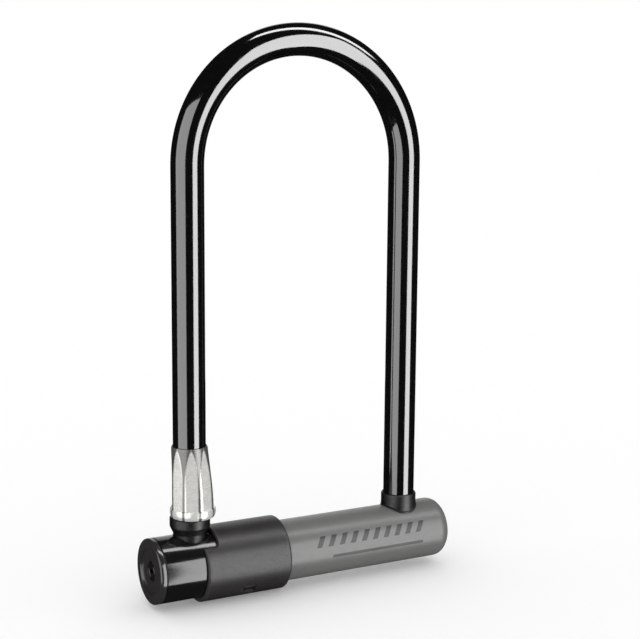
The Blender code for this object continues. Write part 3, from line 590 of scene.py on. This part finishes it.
def rounded(points):
    """Turn (distance, radius, fillet) corners into a plain outline with round corners."""
    outline = []
    count = len(points)
    for index, (a, r, fillet) in enumerate(points):
        here = Vector((a, r))
        if not fillet:
            outline.append((a, r))
            continue
        before = Vector(points[index - 1][:2])
        after = Vector(points[(index + 1) % count][:2])
        to_before = (before - here).normalized()
        to_after = (after - here).normalized()
        half = to_before.angle(to_after) / 2
        reach = fillet / math.tan(half)
        start = here + to_before * reach
        stop = here + to_after * reach
        centre = here + (to_before + to_after).normalized() * (fillet / math.sin(half))
        first = start - centre
        last = stop - centre
        turn = first.angle_signed(last)
        for step in range(ARC_STEPS + 1):
            angle = turn * step / ARC_STEPS
            spun = Matrix.Rotation(-angle, 2) @ first
            outline.append(tuple(centre + spun))
    return outline


def lathe(name, points, material, along_x=True, centre=AXIS, sides=ROUND_SIDES):
    """Turn an outline of (distance, radius, fillet) corners round X, or round Z through centre."""
    outline = rounded(points)
    bm = bmesh.new()
    loops = []
    for distance, radius in outline:
        loop = []
        for side in range(sides):
            angle = 2 * math.pi * side / sides
            a, b = radius * math.cos(angle), radius * math.sin(angle)
            if along_x:
                loop.append(bm.verts.new((distance, centre.y + a, centre.z + b)))
            else:
                loop.append(bm.verts.new((centre.x + a, centre.y + b, distance)))
        loops.append(loop)
    solid = outline[0][1] < ON_AXIS
    following = loops[1:] if solid else loops[1:] + loops[:1]
    for loop, after in zip(loops, following):
        join_loops(bm, loop, after)
    return finish_mesh(name, clean_poles(bm), material)


def join_loops(bm, loop, after):
    count = len(loop)
    for side in range(count):
        nxt = (side + 1) % count
        bm.faces.new((loop[side], loop[nxt], after[nxt], after[side]))


def clean_poles(bm):
    """Merge the rings that have shrunk to a point on the axis."""
    bmesh.ops.remove_doubles(bm, verts=bm.verts, dist=MERGE_DISTANCE)
    bmesh.ops.dissolve_degenerate(bm, dist=DEGENERATE_DISTANCE, edges=bm.edges)
    return bm


def cut_away(piece, cutter):
    """Take the cutter's shape out of the piece for good, and remove the cutter."""
    modifier = piece.modifiers.new("cut", "BOOLEAN")
    modifier.operation = "DIFFERENCE"
    modifier.object = cutter
    bpy.context.view_layer.update()
    graph = bpy.context.evaluated_depsgraph_get()
    mesh = bpy.data.meshes.new_from_object(piece.evaluated_get(graph))
    piece.modifiers.clear()
    piece.data = mesh
    bpy.data.objects.remove(cutter, do_unlink=True)
    mesh.set_sharp_from_angle(angle=SMOOTH_ANGLE)
    return piece


def finish_cutter(bm):
    return finish_mesh("cutter", bm, bpy.data.materials["cutter"])


def rod_cutter(start, end, radius, sides=ROD_SIDES):
    direction = end - start
    bm = bmesh.new()
    turn = direction.to_track_quat("Z", "Y").to_matrix().to_4x4()
    bmesh.ops.create_cone(
        bm, cap_ends=True, segments=sides, radius1=radius, radius2=radius,
        depth=direction.length, matrix=Matrix.Translation((start + end) / 2) @ turn,
    )
    return finish_cutter(bm)


def pin_cutter(node):
    """A hole round one of the CAD pins, along the pin, out through the wall."""
    low, high = corners(node)
    middle = (low + high) / 2
    outward = Vector((0.0, middle.y, middle.z - AXIS_Z)).normalized()
    centre = Vector((middle.x, 0.0, AXIS_Z))
    radius = (high.x - low.x) / 2 + SEAT_FIT
    start = centre + outward * ((middle - centre).length / 2)
    end = centre + outward * (HEAD_RADIUS + OVERCUT)
    return rod_cutter(start, end, radius, PIN_HOLE_SIDES)


def add_block(bm, low, high):
    size = Vector(high) - Vector(low)
    placed = Matrix.Translation((Vector(high) + Vector(low)) / 2) @ Matrix.Diagonal((*size, 1.0))
    bmesh.ops.create_cube(bm, size=1.0, matrix=placed)


def block_cutter(low, high):
    bm = bmesh.new()
    add_block(bm, low, high)
    return finish_cutter(bm)


def prism_cutter(near, away):
    """Cutter between two outlines with the same number of points."""
    bm = bmesh.new()
    near_loop = [bm.verts.new(point) for point in near]
    away_loop = [bm.verts.new(point) for point in away]
    join_loops(bm, near_loop, away_loop)
    bm.faces.new(near_loop)
    bm.faces.new(away_loop)
    return finish_cutter(bm)


def place(piece, body, slot, *nodes):
    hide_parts(*nodes)
    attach(piece, body)
    return piece


# ---- Shackle ------------------------------------------------------------------------------
def u_path(key_end_z, far_end_z):
    """Points up the key-end leg, round the arch and down the far leg, with the way across."""
    stations = []
    for step in range(LEG_STEPS):
        z = key_end_z + (ARCH_Z - key_end_z) * step / LEG_STEPS
        stations.append((Vector((KEY_LEG_X, 0.0, z)), Vector((1.0, 0.0, 0.0))))
    for step in range(ARCH_STEPS + 1):
        angle = math.pi * (1 - step / ARCH_STEPS)
        out = Vector((math.cos(angle), 0.0, math.sin(angle)))
        centre = Vector((ARCH_X, 0.0, ARCH_Z))
        stations.append((centre + out * ARCH_RADIUS, -out))
    for step in range(1, LEG_STEPS + 1):
        z = ARCH_Z + (far_end_z - ARCH_Z) * step / LEG_STEPS
        stations.append((Vector((FAR_LEG_X, 0.0, z)), Vector((-1.0, 0.0, 0.0))))
    return stations


def swept_loops(bm, stations, radius):
    loops = []
    side_way = Vector((0.0, 1.0, 0.0))
    for point, across in stations:
        loop = []
        for side in range(BAR_SIDES):
            angle = 2 * math.pi * side / BAR_SIDES
            offset = across * math.cos(angle) + side_way * math.sin(angle)
            loop.append(bm.verts.new(point + offset * radius))
        loops.append(loop)
    return loops


def build_coating(vinyl):
    bm = bmesh.new()
    stations = u_path(KEY_COAT_Z, COAT_LOW.z)
    outer = swept_loops(bm, stations, COAT_RADIUS)
    inner = swept_loops(bm, stations, COAT_BORE)
    for loops in (outer, inner):
        for loop, after in zip(loops, loops[1:]):
            join_loops(bm, loop, after)
    join_loops(bm, outer[0], inner[0])
    join_loops(bm, outer[-1], inner[-1])
    piece = finish_mesh("shackle_coating_skin", bm, vinyl)
    return place(piece, "shackle", "vinyl_coating", "shackle_coating")


def keyhole_cutter(leg_x):
    """Round hole for the shaft, with a slot down through the leg's tip."""
    radius = SHAFT_RADIUS + SLIDE_FIT
    half_slot = SHAFT_FLATS / 2 + SLOT_SIDE_FIT
    side = math.asin(half_slot / radius)
    first = -math.pi / 2 + side
    last = 3 * math.pi / 2 - side
    lowest = TIP_Z - OVERCUT - AXIS_Z
    points = [(half_slot, lowest)]
    for step in range(KEYHOLE_STEPS + 1):
        angle = first + (last - first) * step / KEYHOLE_STEPS
        points.append((radius * math.cos(angle), radius * math.sin(angle)))
    points.append((-half_slot, lowest))
    near = [(leg_x - HOLE_RADIUS, y, AXIS_Z + z) for y, z in points]
    away = [(leg_x + HOLE_RADIUS, y, AXIS_Z + z) for y, z in points]
    return prism_cutter(near, away)


def build_bar(steel):
    bm = bmesh.new()
    stations = u_path(TIP_Z + BAR_TIP_CHAMFER, TIP_Z + BAR_TIP_CHAMFER)
    loops = swept_loops(bm, stations, STEEL_RADIUS)
    for loop, after in zip(loops, loops[1:]):
        join_loops(bm, loop, after)
    for loop, leg_x in ((loops[0], KEY_LEG_X), (loops[-1], FAR_LEG_X)):
        tip = []
        for vert in loop:
            inward = (STEEL_RADIUS - BAR_TIP_CHAMFER) / STEEL_RADIUS
            x = leg_x + (vert.co.x - leg_x) * inward
            tip.append(bm.verts.new((x, vert.co.y * inward, TIP_Z)))
        join_loops(bm, loop, tip)
        bm.faces.new(tip)
    piece = finish_mesh("shackle_bar_ends", bm, steel)
    for leg_x in (KEY_LEG_X, FAR_LEG_X):
        cut_away(piece, keyhole_cutter(leg_x))
    return place(piece, "shackle", "shackle_steel", "shackle_bar")


def ferrule_swell(down):
    """Share of the ferrule's growth at a share of the way down from its top edge."""
    return math.sin(math.pi / 2 * min(1.0, down)) ** FERRULE_SWELL


def ferrule_loop(bm, z, down, step, fluted):
    base = COAT_RADIUS + SEAT_FIT + FERRULE_WALL
    share = ferrule_swell(down)
    outer_reach = base + FERRULE_OUTER_FLARE * share + step
    inner_reach = base + FERRULE_FLARE * share + step
    radius = (outer_reach + inner_reach) / 2
    centre_x = KEY_LEG_X + (inner_reach - outer_reach) / 2
    grown = min(1.0, max(0.0, (down - FLAT_FIRST) / (FLAT_FULL - FLAT_FIRST)))
    half = FLAT_HALF * math.sin(math.pi / 2 * grown) ** LEAF_POWER if fluted else 0.0
    pitch = 2 * math.pi / FLAT_COUNT
    loop = []
    for side in range(FLAT_COUNT * FLAT_STEPS):
        angle = 2 * math.pi * side / (FLAT_COUNT * FLAT_STEPS)
        off_middle = (angle % pitch) - pitch / 2
        reach = radius
        if abs(off_middle) < half:
            reach = radius * math.cos(half) / math.cos(off_middle)
        loop.append(bm.verts.new((
            centre_x + reach * math.cos(angle), reach * math.sin(angle), z)))
    return loop


def build_ferrule(chrome):
    bm = bmesh.new()
    top = FERRULE_HIGH.z
    body = top - FERRULE_LOW.z - FERRULE_BAND
    loops = [ferrule_loop(bm, top, 0.0, -FERRULE_WALL * FERRULE_RIM_SHARE, False)]
    for index in range(1, FERRULE_STATIONS + 1):
        down = index / FERRULE_STATIONS
        loops.append(ferrule_loop(bm, top - body * down, down, 0.0, True))
    foot = FERRULE_LOW.z
    for height, proud in BAND_PROFILE:
        down = 1.0
        if height <= BAND_TUCK_START:
            down = BAND_TUCK_FOOT + BAND_TUCK_SLOPE * height
        loops.append(ferrule_loop(bm, foot + FERRULE_BAND * height, down,
                                  FERRULE_BAND_STEP * proud, False))
    sides = FLAT_COUNT * FLAT_STEPS
    for z in (foot, top):
        loop = []
        for side in range(sides):
            angle = 2 * math.pi * side / sides
            radius = COAT_RADIUS + SEAT_FIT
            loop.append(bm.verts.new((
                KEY_LEG_X + radius * math.cos(angle), radius * math.sin(angle), z)))
        loops.append(loop)
    for loop, after in zip(loops, loops[1:] + loops[:1]):
        join_loops(bm, loop, after)
    piece = finish_mesh("shackle_ferrule_fluted", bm, chrome)
    return place(piece, "shackle", "chrome_ferrule", "shackle_ferrule")


def build_boot(rubber):
    skirt = half_depth("ferrule_boot")
    throat = skirt - BOOT_STEP
    points = [
        (BOOT_LOW.z, COAT_BORE, 0.0), (BOOT_LOW.z, throat, BOOT_FOOT_FILLET),
        (HEAD_TOP_Z + BOOT_NECK, throat, BOOT_FLARE_FILLET),
        (HEAD_TOP_Z + BOOT_SKIRT, skirt, BOOT_FLARE_FILLET),
        (BOOT_HIGH.z, skirt, BOOT_TOP_FILLET), (BOOT_HIGH.z, COAT_BORE, 0.0),
    ]
    piece = lathe("ferrule_boot_moulded", points, rubber, False, KEY_LEG, SMALL_ROUND_SIDES)
    return place(piece, "shackle", "black_rubber", "ferrule_boot")


# ---- Crossbar -----------------------------------------------------------------------------
def build_tube(lacquer):
    end = TUBE_HIGH.x
    inner_fillet = FAR_FILLET - TUBE_WALL
    points = [(end, 0.0, 0.0), (end, TUBE_RADIUS, FAR_FILLET)]
    start = TUBE_LOW.x
    straight = end - FAR_FILLET - start - TUBE_STATION_MARGIN
    for index in range(TUBE_STATIONS):
        share = 1 - index / TUBE_STATIONS
        points.append((start + straight * share, TUBE_RADIUS, 0.0))
    points += [
        (start, TUBE_RADIUS, TUBE_RIM_FILLET), (start, TUBE_BORE, 0.0),
        (end - TUBE_WALL, TUBE_BORE, inner_fillet), (end - TUBE_WALL, 0.0, 0.0),
    ]
    piece = lathe("crossbar_tube_lacquered", points, lacquer)
    above = FAR_LEG + AXIS + Vector((0.0, 0.0, SLEEVE_RADIUS))
    cut_away(piece, rod_cutter(FAR_LEG + AXIS, above, COAT_RADIUS + SEAT_FIT))
    for node in ("head_pin_front", "head_pin_back", "plug_pin"):
        cut_away(piece, pin_cutter(node))
    return place(piece, "crossbar", "satin_tube", "crossbar_tube")


def build_head(black):
    web = corners("cylinder_housing")[1].x + SEAT_FIT
    bore = HOUSING_RADIUS + SEAT_FIT
    barrel_end = TUBE_LOW.x - SEAT_FIT
    points = [
        (web, SHAFT_BORE, 0.0), (web, bore, 0.0), (HEAD_LOW.x, bore, 0.0),
        (HEAD_LOW.x, HEAD_RADIUS, HEAD_RIM_FILLET), (barrel_end, HEAD_RADIUS, 0.0),
        (barrel_end, PLUG_RADIUS, 0.0), (HEAD_HIGH.x, PLUG_RADIUS, SPIGOT_FILLET),
        (HEAD_HIGH.x, SHAFT_BORE, 0.0),
    ]
    piece = lathe("lock_head_barrel", points, black)
    floor_z = TIP_Z - TIP_CLEARANCE
    mouth_z = BOOT_LOW.z - SEAT_FIT
    mouth_radius = half_depth("ferrule_boot") - BOOT_STEP + SLIDE_FIT
    top = AXIS_Z + SLEEVE_RADIUS
    hole = [
        (floor_z, 0.0, 0.0), (floor_z, HOLE_RADIUS, 0.0), (mouth_z, HOLE_RADIUS, 0.0),
        (mouth_z, mouth_radius, 0.0), (top, mouth_radius, 0.0), (top, 0.0, 0.0),
    ]
    material = bpy.data.materials["cutter"]
    cut_away(piece, lathe("cutter", hole, material, False, KEY_LEG, MOUTH_SIDES))
    for node in ("head_pin_front", "head_pin_back", "housing_pin"):
        cut_away(piece, pin_cutter(node))
    return place(piece, "crossbar", "gloss_black_head", "lock_head")


def build_bezel(black):
    face = BEZEL_LOW.x
    flange_end = HEAD_LOW.x - SEAT_FIT
    cover_radius = half_depth("dust_cover") + SLIDE_FIT
    lip = cover_radius - COVER_LIP
    recess = COVER_LOW.x + COVER_FLANGE + SEAT_FIT
    dish = HEAD_RADIUS - DISH_RADIUS_INSET
    points = [
        (face, dish, DISH_RIM_FILLET), (face, HEAD_RADIUS, BEZEL_EDGE_FILLET),
        (flange_end, HEAD_RADIUS, BEZEL_BACK_FILLET),
        (flange_end, HOUSING_RADIUS, 0.0), (BEZEL_HIGH.x, HOUSING_RADIUS, 0.0),
        (BEZEL_HIGH.x, lip, 0.0), (recess, lip, 0.0), (recess, cover_radius, 0.0),
        (face + DISH_DEPTH, cover_radius, DISH_EDGE_FILLET),
        (face + DISH_DEPTH, dish - DISH_SLOPE, DISH_FLOOR_FILLET),
    ]
    piece = lathe("end_bezel_ring", points, black)
    return place(piece, "crossbar", "gloss_black_plastic", "end_bezel")


def build_dust_cover(steel):
    radius = half_depth("dust_cover")
    lip = radius - COVER_LIP
    front = COVER_LOW.x
    back = COVER_HIGH.x
    groove = front + COVER_GROOVE_DEPTH
    flange = front + COVER_FLANGE
    inner_edge, inner_floor, outer_floor, outer_edge = (radius * share for share in COVER_GROOVE)
    points = [
        (front, 0.0, 0.0), (front, inner_edge, 0.0), (groove, inner_floor, 0.0),
        (groove, outer_floor, 0.0), (front, outer_edge, 0.0),
        (front, radius, COVER_EDGE_FILLET), (flange, radius, 0.0), (flange, lip, 0.0),
        (back, lip, 0.0), (back, 0.0, 0.0),
    ]
    piece = lathe("dust_cover_disc", points, steel, sides=SMALL_ROUND_SIDES)
    half_y = KEY_SLOT_HEIGHT / 2
    half_z = KEY_SLOT_WIDTH / 2
    low = (front - OVERCUT, -half_y, AXIS_Z - half_z)
    cut_away(piece, block_cutter(low, (back + OVERCUT, half_y, AXIS_Z + half_z)))
    return place(piece, "dust_cover", "hardened_steel", "dust_cover")


def build_sleeve(plastic):
    start, end = SLEEVE_LOW.x, SLEEVE_HIGH.x
    over_head = HEAD_RADIUS + SEAT_FIT
    over_tube = TUBE_RADIUS + SEAT_FIT
    points = [(start, over_head, 0.0), (start, SLEEVE_RADIUS, SLEEVE_MOUTH_FILLET)]
    straight = end - start - SLEEVE_STATION_MARGIN
    for index in range(1, SLEEVE_STATIONS):
        points.append((start + straight * index / SLEEVE_STATIONS, SLEEVE_RADIUS, 0.0))
    points += [
        (end, SLEEVE_RADIUS, SLEEVE_END_FILLET), (end, over_tube, 0.0),
        (TUBE_LOW.x, over_tube, 0.0), (TUBE_LOW.x, over_head, 0.0),
    ]
    piece = lathe("sleeve_cover_moulded", points, plastic)
    cut_away(piece, scoop_cutter())
    low, high = window_block(0.0, TUBE_RADIUS - OVERCUT, SLEEVE_RADIUS + OVERCUT)
    cutter = block_cutter(low, high)
    cutter.data.transform(window_turn())
    cut_away(piece, cutter)
    return place(piece, "crossbar", "satin_black_plastic", "sleeve_cover")


def scoop_cutter():
    """Block across the sleeve, from its end to the scoop's wall, with a round lower corner."""
    wall = KEY_LEG_X + half_depth("ferrule_boot") + SCOOP_CLEARANCE
    floor = HEAD_TOP_Z - SCOOP_DEPTH
    top = AXIS_Z + SLEEVE_RADIUS + OVERCUT
    points = [(KEY_LEG_X, floor)]
    for step in range(CORNER_STEPS + 1):
        angle = math.pi / 2 * step / CORNER_STEPS
        points.append((wall - SCOOP_CORNER * (1 - math.sin(angle)),
                       floor + SCOOP_CORNER * (1 - math.cos(angle))))
    points += [(wall, top), (KEY_LEG_X, top)]
    near = [(x, -SLEEVE_RADIUS, z) for x, z in points]
    away = [(x, SLEEVE_RADIUS, z) for x, z in points]
    return prism_cutter(near, away)


def window_block(inset, inner, outer):
    start = KEY_LEG_X + WINDOW_START + inset
    stop = KEY_LEG_X + WINDOW_START + WINDOW_LENGTH - inset
    half = WINDOW_HALF_WIDTH - inset
    return (start, -half, inner), (stop, half, outer)


def window_turn():
    return Matrix.Translation(AXIS) @ Matrix.Rotation(math.pi / 2 - WINDOW_ANGLE, 4, "X")


def build_snap_and_shade_block(black):
    """The snap that holds the sleeve on, sunk in the sleeve's window; its black also fills the
    window with painted shade.
    """
    low, high = window_block(TONGUE_GAP, TUBE_RADIUS + SEAT_FIT, SLEEVE_RADIUS - TONGUE_SUNK)
    bm = bmesh.new()
    add_block(bm, low, high)
    bmesh.ops.bevel(bm, geom=list(bm.edges), offset=TONGUE_BEVEL, segments=TONGUE_BEVEL_STEPS,
                    affect="EDGES")
    bmesh.ops.transform(bm, matrix=window_turn(), verts=bm.verts)
    piece = finish_mesh("sleeve_snap_and_shade_block", bm, black)
    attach(piece, "crossbar")
    return piece


def build_seal(rubber):
    """Collar round the far leg, with a thin foot that follows the round of the tube."""
    bore = COAT_RADIUS + SEAT_FIT
    outer = half_depth("far_hole_seal")
    foot = outer + SEAL_FOOT
    ground = TUBE_RADIUS + SKIN
    profile = [
        (bore, 0.0, True), (foot, 0.0, True), (foot, SEAL_FOOT_RIM, True),
        (foot - SEAL_FOOT_SLOPE, SEAL_FOOT_THICK, True),
    ]
    profile += [(outer + past, SEAL_FOOT_THICK + above, True) for past, above in SEAL_NECK]
    profile += [(outer - inside, SEAL_TOP - below, False) for inside, below in SEAL_RIM]
    profile.append((bore, SEAL_TOP, False))
    bm = bmesh.new()
    loops = []
    for radius, height, on_tube in profile:
        loop = []
        for side in range(SMALL_ROUND_SIDES):
            angle = 2 * math.pi * side / SMALL_ROUND_SIDES
            x, y = radius * math.cos(angle), radius * math.sin(angle)
            z = height
            if on_tube:
                z = AXIS_Z + math.sqrt(ground ** 2 - y ** 2) + height
            loop.append(bm.verts.new((FAR_LEG_X + x, y, z)))
        loops.append(loop)
    for loop, after in zip(loops, loops[1:] + loops[:1]):
        join_loops(bm, loop, after)
    piece = finish_mesh("far_hole_seal_moulded", bm, rubber)
    return place(piece, "crossbar", "black_rubber", "far_hole_seal")


# ---- CAD nodes that stay ------------------------------------------------------------------
def repaint(nodes, material):
    for name in nodes:
        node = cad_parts[name]
        node.data.materials.clear()
        node.data.materials.append(material)


def paint_inner_nodes(brass, hard_steel, turned_steel, bright_steel):
    discs = ["disc_%d" % number for number in range(1, 6)]
    repaint(discs + ["rotor_cage", "cylinder_housing"], brass)
    repaint(["lock_shaft", "guard_plate", "sidebar"], hard_steel)
    repaint(["far_end_plug", "shaft_mid_bush"], turned_steel)
    pins = ["head_pin_front", "head_pin_back", "plug_pin", "housing_pin"]
    repaint(pins + ["shaft_clip_near", "shaft_clip_far"], bright_steel)


# ---- Studio -------------------------------------------------------------------------------
def add_camera():
    data = bpy.data.cameras.new("camera")
    data.lens = CAMERA_LENS
    data.sensor_width = SENSOR_WIDTH
    camera = bpy.data.objects.new("camera", data)
    bpy.context.scene.collection.objects.link(camera)
    back = Vector((
        math.sin(CAMERA_AZIMUTH) * math.cos(CAMERA_ELEVATION),
        -math.cos(CAMERA_AZIMUTH) * math.cos(CAMERA_ELEVATION),
        math.sin(CAMERA_ELEVATION),
    ))
    aim = Vector((ARCH_X + AIM_FROM_ARCH, 0.0, AXIS_Z + AIM_ABOVE_AXIS))
    camera.location = aim + back * CAMERA_DISTANCE
    turn = (-back).to_track_quat("-Z", "Y").to_matrix().to_4x4()
    roll = Matrix.Rotation(CAMERA_ROLL, 4, "Z")
    camera.matrix_world = Matrix.Translation(camera.location) @ turn @ roll
    bpy.context.scene.camera = camera


def add_world():
    """White behind the object, soft grey fill on matt surfaces and dark in reflections."""
    world = bpy.data.worlds.new("studio")
    bpy.context.scene.world = world
    world.use_nodes = True
    tree = world.node_tree
    background = tree.nodes["Background"]
    path = tree.nodes.new("ShaderNodeLightPath")
    not_glossy = calculate(tree, "SUBTRACT", 1.0, path.outputs["Is Glossy Ray"])
    fill = calculate(tree, "MULTIPLY", not_glossy, FILL_STRENGTH)
    seen = calculate(tree, "MAXIMUM", fill, path.outputs["Is Camera Ray"])
    strength = calculate(tree, "MAXIMUM", seen, GLOSSY_FLOOR)
    background.inputs["Color"].default_value = (1.0, 1.0, 1.0, 1.0)
    tree.links.new(strength, background.inputs["Strength"])


def add_softbox(name, azimuth, elevation, distance, width, height, radiance):
    """A flat light of the given radiance. Azimuth 0 stands in front (-Y), and +90 at +X.

    It shows in gloss on every piece; matt surfaces get the world's even fill.
    """
    data = bpy.data.lights.new(name, "AREA")
    data.shape = "RECTANGLE"
    data.size = width
    data.size_y = height
    data.energy = radiance * math.pi * width * height
    lamp = bpy.data.objects.new(name, data)
    bpy.context.scene.collection.objects.link(lamp)
    a, e = math.radians(azimuth), math.radians(elevation)
    way = Vector((math.sin(a) * math.cos(e), -math.cos(a) * math.cos(e), math.sin(e)))
    lamp.location = LIGHT_CENTRE + way * distance
    lamp.rotation_euler = way.to_track_quat("Z", "Y").to_euler()
    lamp.visible_camera = False
    lamp.visible_diffuse = False


def add_lights():
    for name, values in SOFTBOXES.items():
        add_softbox(name, **values)


def add_floor():
    bm = bmesh.new()
    bmesh.ops.create_grid(bm, x_segments=1, y_segments=1, size=FLOOR_HALF)
    material, tree, shader = new_material("pale_floor", **FLOOR)
    sheen(tree, shader, object_coords(tree), **FLOOR_SHEEN)
    floor = finish_mesh("floor", bm, material)
    floor.location.z = cad_box[0].z - SKIN
    floor.visible_glossy = False
    floor.visible_shadow = False


# ---- Everything ---------------------------------------------------------------------------
def build():
    bpy.data.materials.new("cutter")
    vinyl = vinyl_material()
    rubber = rubber_material()
    gloss_black = gloss_black_material("gloss_black_nylon", **HEAD_BLACK)
    # painted light: the end face gets a lighter copy of the head's gloss black
    lit_face_black = gloss_black_material("face_black_nylon", **FACE_BLACK_PAINTED_LIGHT)
    hard_steel = metal_material("hardened_steel", **HARD_STEEL)
    oxide_steel = metal_material("black_oxide_steel", **OXIDE_STEEL)
    bar_steel = metal_material("drawn_steel_bar", **BAR_STEEL)
    turned_steel = metal_material("turned_steel", **TURNED_STEEL)
    bright_steel = metal_material("bright_steel", **BRIGHT_STEEL)
    brass = metal_material("turned_brass", **BRASS)
    build_coating(vinyl)
    build_bar(bar_steel)
    build_ferrule(chrome_material())
    build_boot(rubber)
    build_tube(tube_material())
    build_head(gloss_black)
    build_bezel(lit_face_black)
    build_dust_cover(oxide_steel)
    build_sleeve(satin_black_material())
    # painted shade: the black snap also darkens the sleeve's window
    build_snap_and_shade_block(gloss_black)
    build_seal(rubber)
    paint_inner_nodes(brass, hard_steel, turned_steel, bright_steel)


add_camera()
add_world()
add_lights()
add_floor()
build()
bpy.context.scene.view_settings.view_transform = "Standard"
